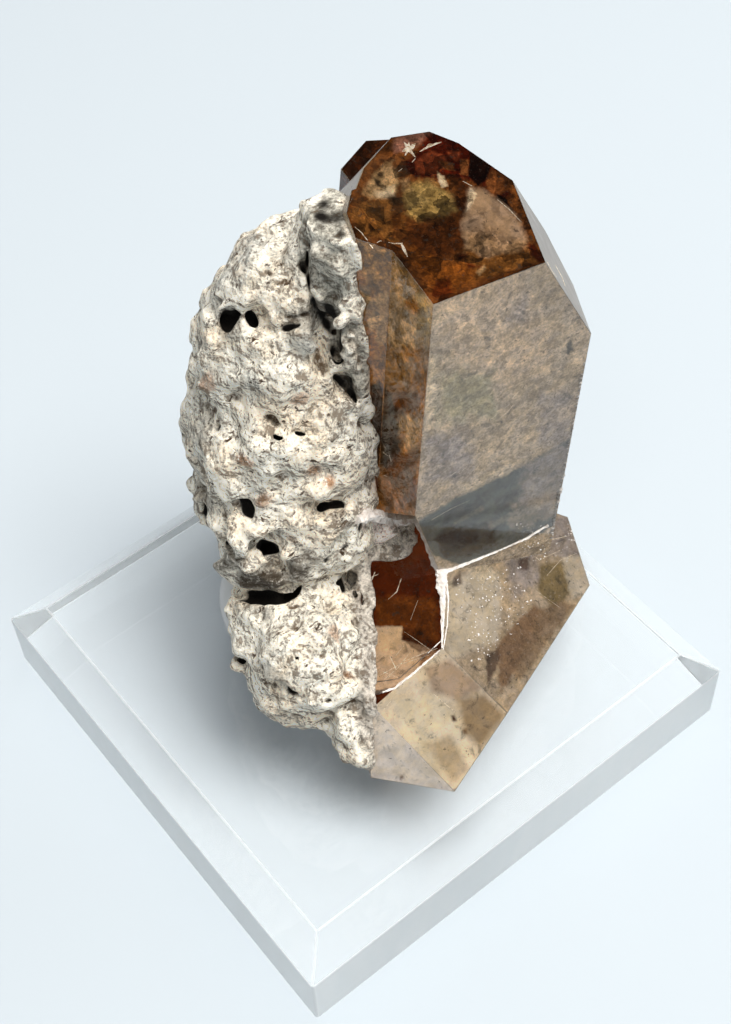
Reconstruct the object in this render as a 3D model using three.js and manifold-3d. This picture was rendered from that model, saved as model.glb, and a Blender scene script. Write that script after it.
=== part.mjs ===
// Two intergrown topaz crystals on a piece of rhyolite, seated in clear putty on a
// square acrylic display base. Millimetres, +Z up, origin in the middle of the base's
// underside.
//
// The specimen has a frame of its own, which shares the base's origin and is turned
// about Z: there x runs across the specimen, from the rock to the crystals, y runs from
// its show side to its back, and z is up.

import * as THREE from "three";
import { ConvexGeometry } from "three/addons/geometries/ConvexGeometry.js";
import { mergeVertices } from "three/addons/utils/BufferGeometryUtils.js";
import Module from "manifold-3d";

const wasm = await Module();
wasm.setup();

// ---------------------------------------------------------------- driving dimensions

const SPECIMEN_TURN = -36.3;            // degrees about Z, so that it stands cornerwise
const CLEARANCE = 0.3;                  // between pieces that touch

const BASE = {
  side: 50.8,
  height: 9.6,
  bevelWidth: 3.0,
  bevelHeight: 2.5,
  cornerCut: 0.15,                      // flat taken off each upright corner
};

const PUTTY = {
  centre: [-5.2, 4.0],                  // specimen frame
  radius: 8.8,
  height: 3.4,
  roll: 2.2,                            // radius of the rounded rim
  tuck: 0.5,                            // how far the rim draws in at the base
  dome: 0.5,                            // rise of the top towards the middle
  rimSteps: 5,
  sides: 32,
};

// Corners that the main faces of the upper crystal run through, specimen frame.
const UPPER = {
  frontTop: [7.4, -2.7, 57.0],          // top of the upright edge between the front faces
  frontRight: [16.3, 1.2, 57.0],        // right end of the top face's front edge
  rightTop: [20.8, 3.1, 46.3],
  backCorner: [20.0, 9.2, 46.7],        // where the right face turns to the back
  backRight: [14.0, 9.6, 58.5],
  backMiddle: [11.8, 12.2, 59.1],
  backTop: [8.7, 14.2, 59.6],
  backLeft: [5.0, 13.4, 59.8],
  leftTop: [1.1, 5.9, 58.8],
  leftSide: [-0.8, 12.0, 50.0],
  notchCorner: [5.7, -3.4, 32.0],       // where the left part of its foot is missing
  depth: 18,                            // front face to the back face parallel to it
  foot: 15,
};

// Corners of the narrow shoulder on the upper crystal's left.
const SHOULDER = {
  frontTop: [5.45, 1.9, 58.5],
  left: [1.3, 5.0, 58.0],
  insideRight: [8.0, 3.0, 50.0],
  insideBack: [4.0, 9.0, 50.0],
  foot: 33,
};

// Corners of the small crystal behind the top.
const SMALL = {
  leftTop: [0.9, 15.7, 55.0],
  backTop: [3.5, 18.8, 55.0],
  rightTop: [6.5, 17.0, 55.0],
  insideFront: [4.0, 11.0, 50.0],
  foot: [3.0, 17.0, 45.0],
};

// Corners of the lower crystal, specimen frame.
const LOWER = {
  apex: [7.7, -9.2, 19.7],              // where its three upper faces meet
  right: [22.7, 0.2, 15.0],
  edge: [13.4, -13.6, 15.0],            // on its long right-hand edge
  tip: [8.1, -20.0, 12.5],
  left: [0.6, -10.0, 15.0],
  back: [8.0, 12.0, 15.0],
  backRight: [17.0, 7.0, 19.0],
  foot: 11.2,
};

// ---------------------------------------------------------------- small helpers

const radians = THREE.MathUtils.degToRad;

function direction(azimuth, elevation) {
  const level = Math.cos(radians(elevation));
  return new THREE.Vector3(
    Math.cos(radians(azimuth)) * level,
    Math.sin(radians(azimuth)) * level,
    Math.sin(radians(elevation)),
  );
}

// A face is written [azimuth, elevation, point]: its outward direction in degrees and
// a point that it runs through.
function planeOf([azimuth, elevation, point], grow) {
  const normal = direction(azimuth, elevation);
  return { normal, reach: normal.dot(new THREE.Vector3(...point)) + grow };
}

function meetingPoint(a, b, c) {
  const bc = new THREE.Vector3().crossVectors(b.normal, c.normal);
  const volume = a.normal.dot(bc);
  if (Math.abs(volume) < 1e-6) return null;
  const ca = new THREE.Vector3().crossVectors(c.normal, a.normal);
  const ab = new THREE.Vector3().crossVectors(a.normal, b.normal);
  return bc.multiplyScalar(a.reach)
    .addScaledVector(ca, b.reach)
    .addScaledVector(ab, c.reach)
    .divideScalar(volume);
}

// The convex solid that lies behind all the faces, each moved outwards by `grow`.
function facetedSolid(faces, grow = 0) {
  const planes = faces.map((face) => planeOf(face, grow));
  const corners = [];
  const keep = (corner) => {
    const inside = planes.every((plane) => plane.normal.dot(corner) < plane.reach + 1e-4);
    const known = corners.some((other) => other.distanceTo(corner) < 1e-3);
    if (inside && !known) corners.push(corner);
  };
  for (let i = 0; i < planes.length; i += 1) {
    for (let j = i + 1; j < planes.length; j += 1) {
      for (let k = j + 1; k < planes.length; k += 1) {
        const corner = meetingPoint(planes[i], planes[j], planes[k]);
        if (corner) keep(corner);
      }
    }
  }
  return toSolid(new ConvexGeometry(corners));
}

function toSolid(geometry) {
  const bare = geometry.clone();
  bare.deleteAttribute("normal");
  bare.deleteAttribute("uv");
  const merged = mergeVertices(bare, 1e-4);
  return new wasm.Manifold(new wasm.Mesh({
    numProp: 3,
    vertProperties: new Float32Array(merged.attributes.position.array),
    triVerts: new Uint32Array(merged.index.array),
  }));
}

function toGeometry(solid) {
  const mesh = solid.getMesh();
  const geometry = new THREE.BufferGeometry();
  geometry.setAttribute("position", new THREE.BufferAttribute(mesh.vertProperties, 3));
  geometry.setIndex(new THREE.BufferAttribute(mesh.triVerts, 1));
  geometry.computeVertexNormals();
  return geometry;
}

const join = (solids) => solids.reduce((sum, solid) => sum.add(solid));
const cut = (solid, tools) => tools.reduce((rest, tool) => rest.subtract(tool), solid);

// Smooth noise from -1 to 1: random values on a cubic lattice, blended between.
function latticeValue(i, j, k) {
  const mixed = Math.sin(i * 127.1 + j * 311.7 + k * 74.7) * 43758.5453;
  return 2 * (mixed - Math.floor(mixed)) - 1;
}

function noise(x, y, z) {
  const cell = [x, y, z].map(Math.floor);
  const [u, v, w] = [x - cell[0], y - cell[1], z - cell[2]].map((t) => t * t * (3 - 2 * t));
  let sum = 0;
  for (const i of [0, 1]) {
    for (const j of [0, 1]) {
      for (const k of [0, 1]) {
        const weight = (i ? u : 1 - u) * (j ? v : 1 - v) * (k ? w : 1 - w);
        sum += weight * latticeValue(cell[0] + i, cell[1] + j, cell[2] + k);
      }
    }
  }
  return sum;
}

// ---------------------------------------------------------------- display base

function acrylicBase() {
  const half = BASE.side / 2;
  const slope = THREE.MathUtils.radToDeg(Math.atan2(BASE.bevelWidth, BASE.bevelHeight));
  const shoulder = BASE.height - BASE.bevelHeight;
  const faces = [
    [0, 90, [0, 0, BASE.height]],
    [0, -90, [0, 0, 0]],
  ];
  for (const side of [0, 90, 180, 270]) {
    const out = direction(side, 0).multiplyScalar(half);
    const corner = direction(side + 45, 0).multiplyScalar(half * Math.SQRT2 - BASE.cornerCut);
    faces.push([side, 0, [out.x, out.y, 0]]);
    faces.push([side, slope, [out.x, out.y, shoulder]]);
    faces.push([side + 45, 0, [corner.x, corner.y, 0]]);
  }
  return facetedSolid(faces);
}

// ---------------------------------------------------------------- putty

// A round pat of putty with a rolled rim and a slightly domed top.
function puttyPat(grow = 0) {
  const { roll, dome, rimSteps, sides } = PUTTY;
  const radius = PUTTY.radius + grow;
  const bottom = BASE.height - grow;
  const top = BASE.height + PUTTY.height + grow;
  const outline = [[0, bottom], [radius - PUTTY.tuck, bottom]];
  for (let step = 0; step <= rimSteps; step += 1) {
    const angle = THREE.MathUtils.lerp(-Math.PI / 9, Math.PI / 2, step / rimSteps);
    outline.push([radius - roll + roll * Math.cos(angle), top - roll + roll * Math.sin(angle)]);
  }
  outline.push([0, top + dome]);
  const points = outline.map(([r, z]) => new THREE.Vector2(r, z));
  const geometry = new THREE.LatheGeometry(points, sides);
  geometry.rotateX(Math.PI / 2);
  geometry.translate(...PUTTY.centre, 0);
  return toSolid(geometry);
}

// ---------------------------------------------------------------- topaz

const FRONT = -66.4;                    // azimuth of the upper crystal's front face
const LEFT_FRONT = -149.3;

// The large upright crystal: a short prism of two broad front faces, under one big
// nearly level end face with narrow slopes along its right, back and left.
function upperPrism(grow) {
  const back = direction(FRONT + 180, 0).multiplyScalar(UPPER.depth)
    .add(new THREE.Vector3(...UPPER.frontTop)).toArray();
  return facetedSolid([
    [FRONT, 0, UPPER.frontTop],
    [LEFT_FRONT, 4.2, UPPER.frontTop],
    [FRONT, 79, UPPER.frontTop],
    [8, 25, UPPER.frontRight],
    [7, -4, UPPER.rightTop],
    [50, 0, UPPER.backCorner],
    [42, 27, UPPER.backRight],
    [58, 30, UPPER.backMiddle],
    [100, 34, UPPER.backTop],
    [146, 34, UPPER.backLeft],
    [166, 32, UPPER.leftTop],
    [FRONT + 180, 0, back],
    [160, 2, UPPER.leftSide],
    [0, -90, [0, 0, UPPER.foot]],
  ], grow);
}

// What its foot lacks: an overhung notch between it and the lower crystal's window.
function footNotch(grow) {
  return facetedSolid([
    [94, 44, UPPER.notchCorner],
    [8, 13.6, UPPER.notchCorner],
    [180, 0, [-8, 0, 0]],
    [-90, 0, [0, -14, 0]],
    [0, -90, [0, 0, UPPER.foot - 2]],
  ], -grow);
}

const upperCrystal = (grow) => upperPrism(grow).subtract(footNotch(grow));

// A narrow shoulder grown onto its left, level with the end face.
function shoulderCrystal(grow) {
  return facetedSolid([
    [-112, 3, SHOULDER.frontTop],
    [FRONT, 79, UPPER.frontTop],
    [-165, 6, SHOULDER.left],
    [172, 28, UPPER.leftTop],
    [20, 0, SHOULDER.insideRight],
    [FRONT + 180, 0, SHOULDER.insideBack],
    [0, -90, [0, 0, SHOULDER.foot]],
  ], grow);
}

// A small dark crystal leaning out behind the top.
function smallCrystal(grow) {
  return facetedSolid([
    [LEFT_FRONT, 4.2, SMALL.leftTop],
    [144, 6, SMALL.leftTop],
    [94, 6, SMALL.backTop],
    [30, 4, SMALL.rightTop],
    [FRONT, 0, SMALL.insideFront],
    [FRONT, 79, SMALL.leftTop],
    [FRONT + 180, -40, SMALL.foot],
  ], grow);
}

// The low crystal in front, with a bright flat window beside the rock, two tan slopes
// and a pale face over its tip.
function lowerCrystal(grow) {
  return facetedSolid([
    [-77.7, 70.8, LOWER.apex],
    [-33.9, 56.9, LOWER.apex],
    [-63.9, 54.0, LOWER.apex],
    [-112.1, 24.5, LOWER.tip],
    [-34, -18, LOWER.edge],
    [-100, -47, LOWER.tip],
    [10, 10, LOWER.right],
    [75, 20, LOWER.backRight],
    [110, 5, LOWER.back],
    [180, 0, LOWER.left],
    [0, -90, [0, 0, LOWER.foot]],
  ], grow);
}

function topazCrystals(grow = 0) {
  return join([upperCrystal(grow), shoulderCrystal(grow), smallCrystal(grow), lowerCrystal(grow)]);
}

// ---------------------------------------------------------------- rhyolite

// Lumps that make up the rock: centre, radii, turn about Z, squareness (2 is round) and
// fineness of the mesh.
const LUMPS = [
  { centre: [-5.2, 7.8, 35.6], radii: [8.3, 8.4, 14.2], turn: 0, square: 2.5, fineness: 7 },
  { centre: [-5.3, 5.4, 32.4], radii: [8.4, 9.0, 10.0], turn: 6, square: 2.4, fineness: 6 },
  { centre: [-5.4, 3.0, 27.9], radii: [8.3, 9.0, 7.8], turn: 10, square: 2.4, fineness: 6 },
  { centre: [-4.2, 8.6, 46.6], radii: [5.6, 6.2, 7.8], turn: -20, square: 2.3, fineness: 5 },
  { centre: [-0.2, 6.8, 47.6], radii: [2.7, 3.8, 7.6], turn: 0, square: 2.2, fineness: 4 },
  { centre: [0.9, 4.4, 40.0], radii: [1.5, 2.0, 5.0], turn: 0, square: 2.0, fineness: 3 },
  { centre: [-4.8, -5.8, 18.0], radii: [6.3, 9.0, 6.3], turn: 8, square: 2.4, fineness: 6 },
  { centre: [-1.8, -11.6, 14.8], radii: [2.7, 6.6, 3.1], turn: 20, square: 2.2, fineness: 4 },
  { centre: [2.4, 1.4, 25.2], radii: [3.0, 1.9, 1.5], turn: -30, square: 2.0, fineness: 3 },
  { centre: [-1.6, 12.4, 29.0], radii: [9.0, 6.6, 13.4], turn: 15, square: 2.4, fineness: 5 },
  { centre: [2.0, 8.4, 19.6], radii: [9.4, 10.4, 6.8], turn: 0, square: 2.4, fineness: 5 },
];

function lump({ centre, radii, turn, square, fineness }) {
  const geometry = mergeVertices(bareIcosahedron(fineness));
  const place = geometry.attributes.position;
  const upright = new THREE.Vector3(0, 0, 1);
  for (let i = 0; i < place.count; i += 1) {
    const out = new THREE.Vector3().fromBufferAttribute(place, i);
    const bulk = out.toArray().reduce((sum, part) => sum + Math.abs(part) ** square, 0);
    const point = out.clone().multiplyScalar(bulk ** (-1 / square));
    point.multiply(new THREE.Vector3(...radii)).applyAxisAngle(upright, radians(turn));
    point.add(new THREE.Vector3(...centre));
    out.applyAxisAngle(upright, radians(turn));
    point.addScaledVector(out, roughness(point));
    place.setXYZ(i, point.x, point.y, point.z);
  }
  return toSolid(geometry);
}

// How far the broken surface stands out at a point: broad swells and smaller knobs.
function roughness({ x, y, z }) {
  const broad = noise(x / 5.4, y / 5.4, z / 5.4);
  const knobs = 1 - 2 * Math.abs(noise(x / 3.1 + 9, y / 3.1, z / 3.1));
  return 1.1 * broad + 0.55 * knobs;
}

function bareIcosahedron(fineness) {
  const geometry = new THREE.IcosahedronGeometry(1, fineness);
  geometry.deleteAttribute("normal");
  geometry.deleteAttribute("uv");
  return geometry;
}

// Open gas pits and slits: centre, radii, turn about Z.
const PITS = [
  { centre: [-8.7, 3.8, 49.8], radii: [0.9, 1.3, 0.8], turn: 30 },
  { centre: [-6.7, 3.2, 50.2], radii: [1.0, 1.4, 0.9], turn: 0 },
  { centre: [-3.2, 1.8, 50.6], radii: [1.5, 1.4, 0.5], turn: 10 },
  { centre: [-1.5, 1.6, 48.6], radii: [0.9, 2.6, 3.2], turn: 5 },
  { centre: [0.2, 1.4, 44.2], radii: [0.7, 1.4, 1.3], turn: 0 },
  { centre: [-0.2, 2.9, 52.6], radii: [0.9, 1.0, 0.8], turn: 0 },
  { centre: [-12.2, 1.9, 40.2], radii: [1.0, 0.8, 1.1], turn: 0 },
  { centre: [-5.9, -0.8, 41.8], radii: [0.8, 1.0, 0.6], turn: 0 },
  { centre: [-1.1, -3.0, 33.6], radii: [1.0, 1.1, 0.7], turn: 20 },
  { centre: [-7.7, -5.3, 30.8], radii: [1.7, 2.0, 1.2], turn: 15 },
  { centre: [-10.9, -4.0, 29.2], radii: [0.9, 1.1, 0.8], turn: 0 },
  { centre: [-6.9, -5.6, 27.3], radii: [1.0, 1.2, 0.8], turn: 0 },
  { centre: [-1.0, -4.6, 29.4], radii: [1.1, 1.3, 0.7], turn: 0 },
  { centre: [-2.1, -6.3, 23.2], radii: [0.8, 1.0, 0.7], turn: 0 },
  { centre: [-7.9, -13.1, 20.7], radii: [0.9, 1.0, 0.8], turn: 0 },
  { centre: [-12.9, 12.4, 38.0], radii: [1.2, 1.4, 1.3], turn: 0 },
  { centre: [-6.0, 18.2, 30.0], radii: [1.4, 1.2, 1.1], turn: 0 },
  { centre: [-12.6, 9.0, 27.0], radii: [1.2, 1.2, 0.9], turn: 0 },
];

function pit({ centre, radii, turn }) {
  const geometry = bareIcosahedron(1);
  geometry.scale(...radii);
  geometry.rotateZ(radians(turn));
  geometry.translate(...centre);
  return toSolid(geometry);
}

function rhyoliteMatrix() {
  const rock = cut(join(LUMPS.map(lump)), PITS.map(pit));
  return cut(rock, [topazCrystals(CLEARANCE), puttyPat(CLEARANCE)]);
}

// ---------------------------------------------------------------- assembly

function piece(name, solid, colour, roughness, extra = {}) {
  const material = new THREE.MeshStandardMaterial({ color: colour, roughness, metalness: 0, ...extra });
  const mesh = new THREE.Mesh(toGeometry(solid), material);
  mesh.name = name;
  return mesh;
}

const specimen = new THREE.Group();
specimen.rotation.z = radians(SPECIMEN_TURN);
const topaz = cut(topazCrystals(), [puttyPat(CLEARANCE)]);
specimen.add(piece("topaz_crystals", topaz, "#a5714a", 0.12, { transparent: true, opacity: 0.6 }));
specimen.add(piece("rhyolite_matrix", rhyoliteMatrix(), "#d8cebf", 0.95));
specimen.add(piece("mounting_putty", puttyPat(), "#dfe6ea", 0.4));

const display = new THREE.Group();
display.add(piece("acrylic_base", acrylicBase(), "#e4edf2", 0.1, { transparent: true, opacity: 0.5 }));
display.add(specimen);

export default display;
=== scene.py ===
"""Topaz crystals on rhyolite, in clear putty on a square acrylic base."""

import math

import bmesh
import bpy
import numpy as np
import openvdb
from mathutils import Matrix, Vector, noise
from mathutils.bvhtree import BVHTree
from mathutils.geometry import delaunay_2d_cdt

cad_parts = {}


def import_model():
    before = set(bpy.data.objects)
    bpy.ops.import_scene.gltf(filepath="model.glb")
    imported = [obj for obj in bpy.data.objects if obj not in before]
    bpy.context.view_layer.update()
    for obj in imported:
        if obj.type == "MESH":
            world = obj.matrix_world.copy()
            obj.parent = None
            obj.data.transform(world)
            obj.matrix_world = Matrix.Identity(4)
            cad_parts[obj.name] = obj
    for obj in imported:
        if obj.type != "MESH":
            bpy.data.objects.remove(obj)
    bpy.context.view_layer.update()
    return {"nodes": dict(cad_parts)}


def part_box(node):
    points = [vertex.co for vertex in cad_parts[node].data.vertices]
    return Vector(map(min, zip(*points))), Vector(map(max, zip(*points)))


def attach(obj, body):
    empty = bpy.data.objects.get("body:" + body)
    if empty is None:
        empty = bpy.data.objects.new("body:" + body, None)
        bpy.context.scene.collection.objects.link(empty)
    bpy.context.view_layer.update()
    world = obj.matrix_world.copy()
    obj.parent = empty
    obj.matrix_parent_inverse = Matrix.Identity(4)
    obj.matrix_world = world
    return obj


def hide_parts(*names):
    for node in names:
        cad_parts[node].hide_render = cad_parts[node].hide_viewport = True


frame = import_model()

MM = 0.001

# The specimen's own frame is turned about Z from the base's.
SPECIMEN_TURN = math.radians(-36.3)
TO_WORLD = Matrix.Rotation(SPECIMEN_TURN, 3, "Z")

# The camera that took the photograph: where it looks from, and its lens.
CAMERA_AZIMUTH = -36.30                # degrees
CAMERA_ELEVATION = 51.95
CAMERA_ROLL = math.radians(-3.08)
CAMERA_DISTANCE = 184.74 * MM
CAMERA_TARGET = Vector((14.40, 17.19, 0.0)) * MM
CAMERA_LENS = 57.92                    # mm on a 36 mm long side

FLOOR_GAP = 0.05 * MM                  # the film of air under the base
FLOOR_HALF = 2.5                       # metres from its middle to a side
FLOOR_COLOUR = (0.545, 0.602, 0.650)
SKY_COLOUR = (0.93, 0.97, 1.0)
CEILING_PATCH = (100, 72)              # where a dark patch overhead is centred: azimuth and elevation

# The lamps: azimuth, elevation, distance and size in metres, power in watts, and colour.
LAMPS = {
    "right": (30, 62, 0.9, 0.36, 4.6, (1.0, 0.97, 0.92)),
    "high": (60, 75, 0.9, 0.30, 2.8, (1.0, 0.98, 0.94)),
    "top": (0, 78, 0.9, 0.30, 3.0, (1.0, 0.98, 0.95)),
    "front": (-50, 56, 0.9, 0.30, 0.7, (1.0, 0.97, 0.92)),
    "back": (130, 62, 0.9, 0.30, 1.0, (1.0, 1.0, 1.0)),
    "window": (95, 42, 1.2, 0.5, 1.3, (1.0, 0.985, 0.965)),
}

ACRYLIC_IOR = 1.49
ACRYLIC_EDGE = 0.12 * MM               # width of the rounding along the block's edges
TOPAZ_IOR = 1.62
TOPAZ_EDGE = 0.08 * MM
TOPAZ_COLOUR = (0.70, 0.52, 0.16)      # what is left of light per unit of absorption
TOPAZ_DENSITY = 95.0                   # per metre


# ------------------------------------------------------------------ node helpers

def new_material(name):
    material = bpy.data.materials.new(name)
    material.use_nodes = True
    return material, material.node_tree


def node(tree, kind, inputs=None, **settings):
    made = tree.nodes.new(kind)
    for key, value in settings.items():
        setattr(made, key, value)
    for key, value in (inputs or {}).items():
        feed(tree, made.inputs[key], value)
    return made


def feed(tree, socket, value):
    if isinstance(value, bpy.types.NodeSocket):
        tree.links.new(value, socket)
    else:
        socket.default_value = value


def place(tree):
    return node(tree, "ShaderNodeTexCoord").outputs["Object"]


def shifted(tree, offset, stretch=(1, 1, 1)):
    mapping = node(tree, "ShaderNodeMapping", {"Vector": place(tree), "Location": offset, "Scale": stretch})
    return mapping.outputs["Vector"]


def noise_field(tree, size, detail=3.0, rough=0.55, offset=(0, 0, 0), stretch=(1, 1, 1), distort=0.0):
    """Smooth noise whose swells are about `size` mm across."""
    made = node(tree, "ShaderNodeTexNoise", {
        "Vector": shifted(tree, offset, stretch), "Scale": 1 / (size * MM), "Detail": detail,
        "Roughness": rough, "Distortion": distort})
    return made.outputs["Fac"]


def attribute(tree, name):
    return node(tree, "ShaderNodeAttribute", attribute_name=name).outputs["Fac"]


def maths(tree, operation, a, b=0.0, clamp=False):
    return node(tree, "ShaderNodeMath", {0: a, 1: b}, operation=operation, use_clamp=clamp).outputs[0]


def times(tree, a, b, clamp=False):
    return maths(tree, "MULTIPLY", a, b, clamp)


def dimmed(tree, shade, factor):
    """A colour times a number."""
    return node(tree, "ShaderNodeVectorMath", {0: shade, "Scale": factor}, operation="SCALE").outputs[0]


def between(tree, value, low, high, to_low=0.0, to_high=1.0):
    """A smooth step from `to_low` at `low` to `to_high` at `high`."""
    made = node(tree, "ShaderNodeMapRange", {
        "Value": value, "From Min": low, "From Max": high, "To Min": to_low, "To Max": to_high},
        interpolation_type="SMOOTHSTEP")
    return made.outputs["Result"]


def mix(tree, factor, a, b):
    made = node(tree, "ShaderNodeMix", data_type="RGBA")
    for socket, value in ((0, factor), (6, a), (7, b)):
        feed(tree, made.inputs[socket], colour(value) if isinstance(value, tuple) else value)
    return made.outputs[2]


def colour(rgb):
    return (*rgb, 1.0)


def bump(tree, height, distance, strength=1.0, after=None):
    inputs = {"Height": height, "Distance": distance, "Strength": strength}
    if after is not None:
        inputs["Normal"] = after
    return node(tree, "ShaderNodeBump", inputs).outputs["Normal"]


def finish_shader(tree, **inputs):
    shader = tree.nodes["Principled BSDF"]
    for key, value in inputs.items():
        feed(tree, shader.inputs[key.replace("_", " ")], value)
    return shader


def absorb(tree, rgb, density):
    volume = node(tree, "ShaderNodeVolumeAbsorption", {"Color": colour(rgb), "Density": density})
    tree.links.new(volume.outputs[0], tree.nodes["Material Output"].inputs["Volume"])


# ------------------------------------------------------------------ mesh helpers

def new_object(name, mesh):
    made = bpy.data.objects.new(name, mesh)
    bpy.context.scene.collection.objects.link(made)
    return made


def welded_copy(cad_node):
    """A bmesh of a CAD node with its corners joined."""
    made = bmesh.new()
    made.from_mesh(frame["nodes"][cad_node].data)
    bmesh.ops.remove_doubles(made, verts=made.verts, dist=0.002 * MM)
    return made


def to_object(name, made):
    mesh = bpy.data.meshes.new(name)
    made.to_mesh(mesh)
    made.free()
    return new_object(name, mesh)


def apply_modifiers(piece):
    """Replaces a piece's mesh by what its modifiers make of it."""
    shape = piece.evaluated_get(bpy.context.evaluated_depsgraph_get())
    mesh = bpy.data.meshes.new_from_object(shape)
    piece.modifiers.clear()
    piece.data = mesh


def round_edges(piece, width, segments, angle):
    """Bevels the edges that turn by more than `angle` degrees."""
    edge = piece.modifiers.new("edge", "BEVEL")
    edge.width = width
    edge.segments = segments
    edge.limit_method = "ANGLE"
    edge.angle_limit = math.radians(angle)
    apply_modifiers(piece)


def smooth_over(piece):
    """Rounds a piece by two steps of subdivision."""
    piece.modifiers.new("soft", "SUBSURF").levels = 2
    apply_modifiers(piece)
    piece.data.shade_smooth()


def store(mesh, name, values, domain="POINT"):
    mesh.attributes.new(name, "FLOAT", domain).data.foreach_set("value", np.asarray(values, np.float32))


def mark_rims(mesh, width):
    """Marks the faces that are narrow strips, which are the bevels along the edges."""
    rims = []
    for face in mesh.polygons:
        corners = [mesh.vertices[index].co for index in face.vertices]
        around = sum((a - b).length for a, b in zip(corners, corners[1:] + corners[:1]))
        rims.append(float(2 * face.area / around < width))
    store(mesh, "rim", rims, "FACE")


def adopt(piece, slot, material, *nodes):
    """Gives a piece its material and body, and hides the CAD nodes that it stands for; the slot is not used.
    """
    piece.data.materials.clear()
    piece.data.materials.append(material)
    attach(piece, "root")
    if nodes:
        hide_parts(*nodes)


def world(x, y, z):
    """A point of the specimen's frame, in mm, as a world point in metres."""
    return TO_WORLD @ Vector((x, y, z)) * MM


def facing(azimuth, elevation):
    """The world direction of a face, from its azimuth and elevation in the specimen's frame."""
    a, e = math.radians(azimuth), math.radians(elevation)
    return TO_WORLD @ Vector((math.cos(a) * math.cos(e), math.sin(a) * math.cos(e), math.sin(e)))


# ------------------------------------------------------------------ acrylic base

def acrylic_material():
    material, tree = new_material("clear_acrylic")
    normal = node(tree, "ShaderNodeNewGeometry").outputs["Normal"]
    tilt = node(tree, "ShaderNodeSeparateXYZ", {"Vector": normal}).outputs["Z"]
    upright = between(tree, maths(tree, "ABSOLUTE", tilt), 0.35, 0.1)
    streaks = noise_field(tree, 2.2, 3, 0.5, stretch=(1, 1, 0.25))
    haze = noise_field(tree, 9.0, 3, 0.5)
    satin = times(tree, upright, between(tree, streaks, 0.3, 0.7, 0.30, 0.42))
    smear = between(tree, haze, 0.4, 0.7, 0.02, 0.06)
    rim = attribute(tree, "rim")
    # Painted shade: the upright sides get a darker, streaky grey tint than the top.
    side_shade = mix(tree, between(tree, streaks, 0.35, 0.65), (0.78, 0.83, 0.855), (0.83, 0.87, 0.89))
    tint = mix(tree, upright, (0.985, 0.995, 1.0), side_shade)
    height = node(tree, "ShaderNodeSeparateXYZ", {"Vector": place(tree)}).outputs["Z"]
    clear = maths(tree, "MINIMUM", between(tree, upright, 0.0, 1.0, 1.0, 0.45),
                  between(tree, height, 0.1 * MM, 0.3 * MM, 0.82, 1.0))
    rough = maths(tree, "MAXIMUM", maths(tree, "MAXIMUM", satin, smear), times(tree, rim, 0.3))
    finish_shader(
        tree, Base_Color=mix(tree, times(tree, rim, 0.4), tint, (0.94, 0.97, 0.98)),
        Roughness=rough, IOR=ACRYLIC_IOR,
        Transmission_Weight=times(tree, clear, between(tree, rim, 0.0, 1.0, 1.0, 0.8)),
        Normal=bump(tree, streaks, 0.01 * MM, 0.2))
    absorb(tree, (0.80, 0.93, 0.96), 1.2)
    return material


def acrylic_base():
    made = welded_copy("acrylic_base")
    bmesh.ops.dissolve_limit(made, angle_limit=math.radians(1), verts=made.verts, edges=made.edges)
    piece = to_object("acrylic_block", made)
    round_edges(piece, ACRYLIC_EDGE, 3, 20)
    mark_rims(piece.data, 0.2 * MM)
    adopt(piece, "acrylic", acrylic_material(), "acrylic_base")
    piece.visible_shadow = False
    return piece


# ------------------------------------------------------------------ putty

PUTTY_SWELL = 0.25 * MM                # how far its sides swell and sink
PUTTY_RIPPLES = 260                    # per metre


def putty_material():
    material, tree = new_material("clear_putty")
    cloud = noise_field(tree, 2.5, 3, 0.5)
    finish_shader(
        tree, Base_Color=mix(tree, cloud, (0.93, 0.96, 0.97), (1.0, 1.0, 1.0)),
        Roughness=0.22, IOR=1.45, Transmission_Weight=0.2,
        Normal=bump(tree, noise_field(tree, 1.4, 4, 0.6), 0.06 * MM, 0.5))
    return material


def mounting_putty():
    made = welded_copy("mounting_putty")
    piece = to_object("putty_pat", made)
    smooth_over(piece)
    low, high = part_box("mounting_putty")
    centre = (low + high) / 2
    for vertex in piece.data.vertices:
        swell = noise.noise(vertex.co * PUTTY_RIPPLES) * PUTTY_SWELL
        out = (vertex.co - centre).normalized()
        if vertex.co.z > low.z + 0.3 * MM:
            vertex.co += Vector((out.x, out.y, 0)) * (swell - PUTTY_SWELL)
    adopt(piece, "putty", putty_material(), "mounting_putty")
    return piece


# ------------------------------------------------------------------ rhyolite

ROCK_CELL = 0.265                      # mm between the grid points that the rock is worked out on
ROCK_BAND = 3.0                        # mm off a surface up to which distances are known
ROCK_MARGIN = 2.5                      # mm of grid round the solid
ROCK_SINK = 0.30                       # mm that the rock reaches into the crystals

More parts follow.
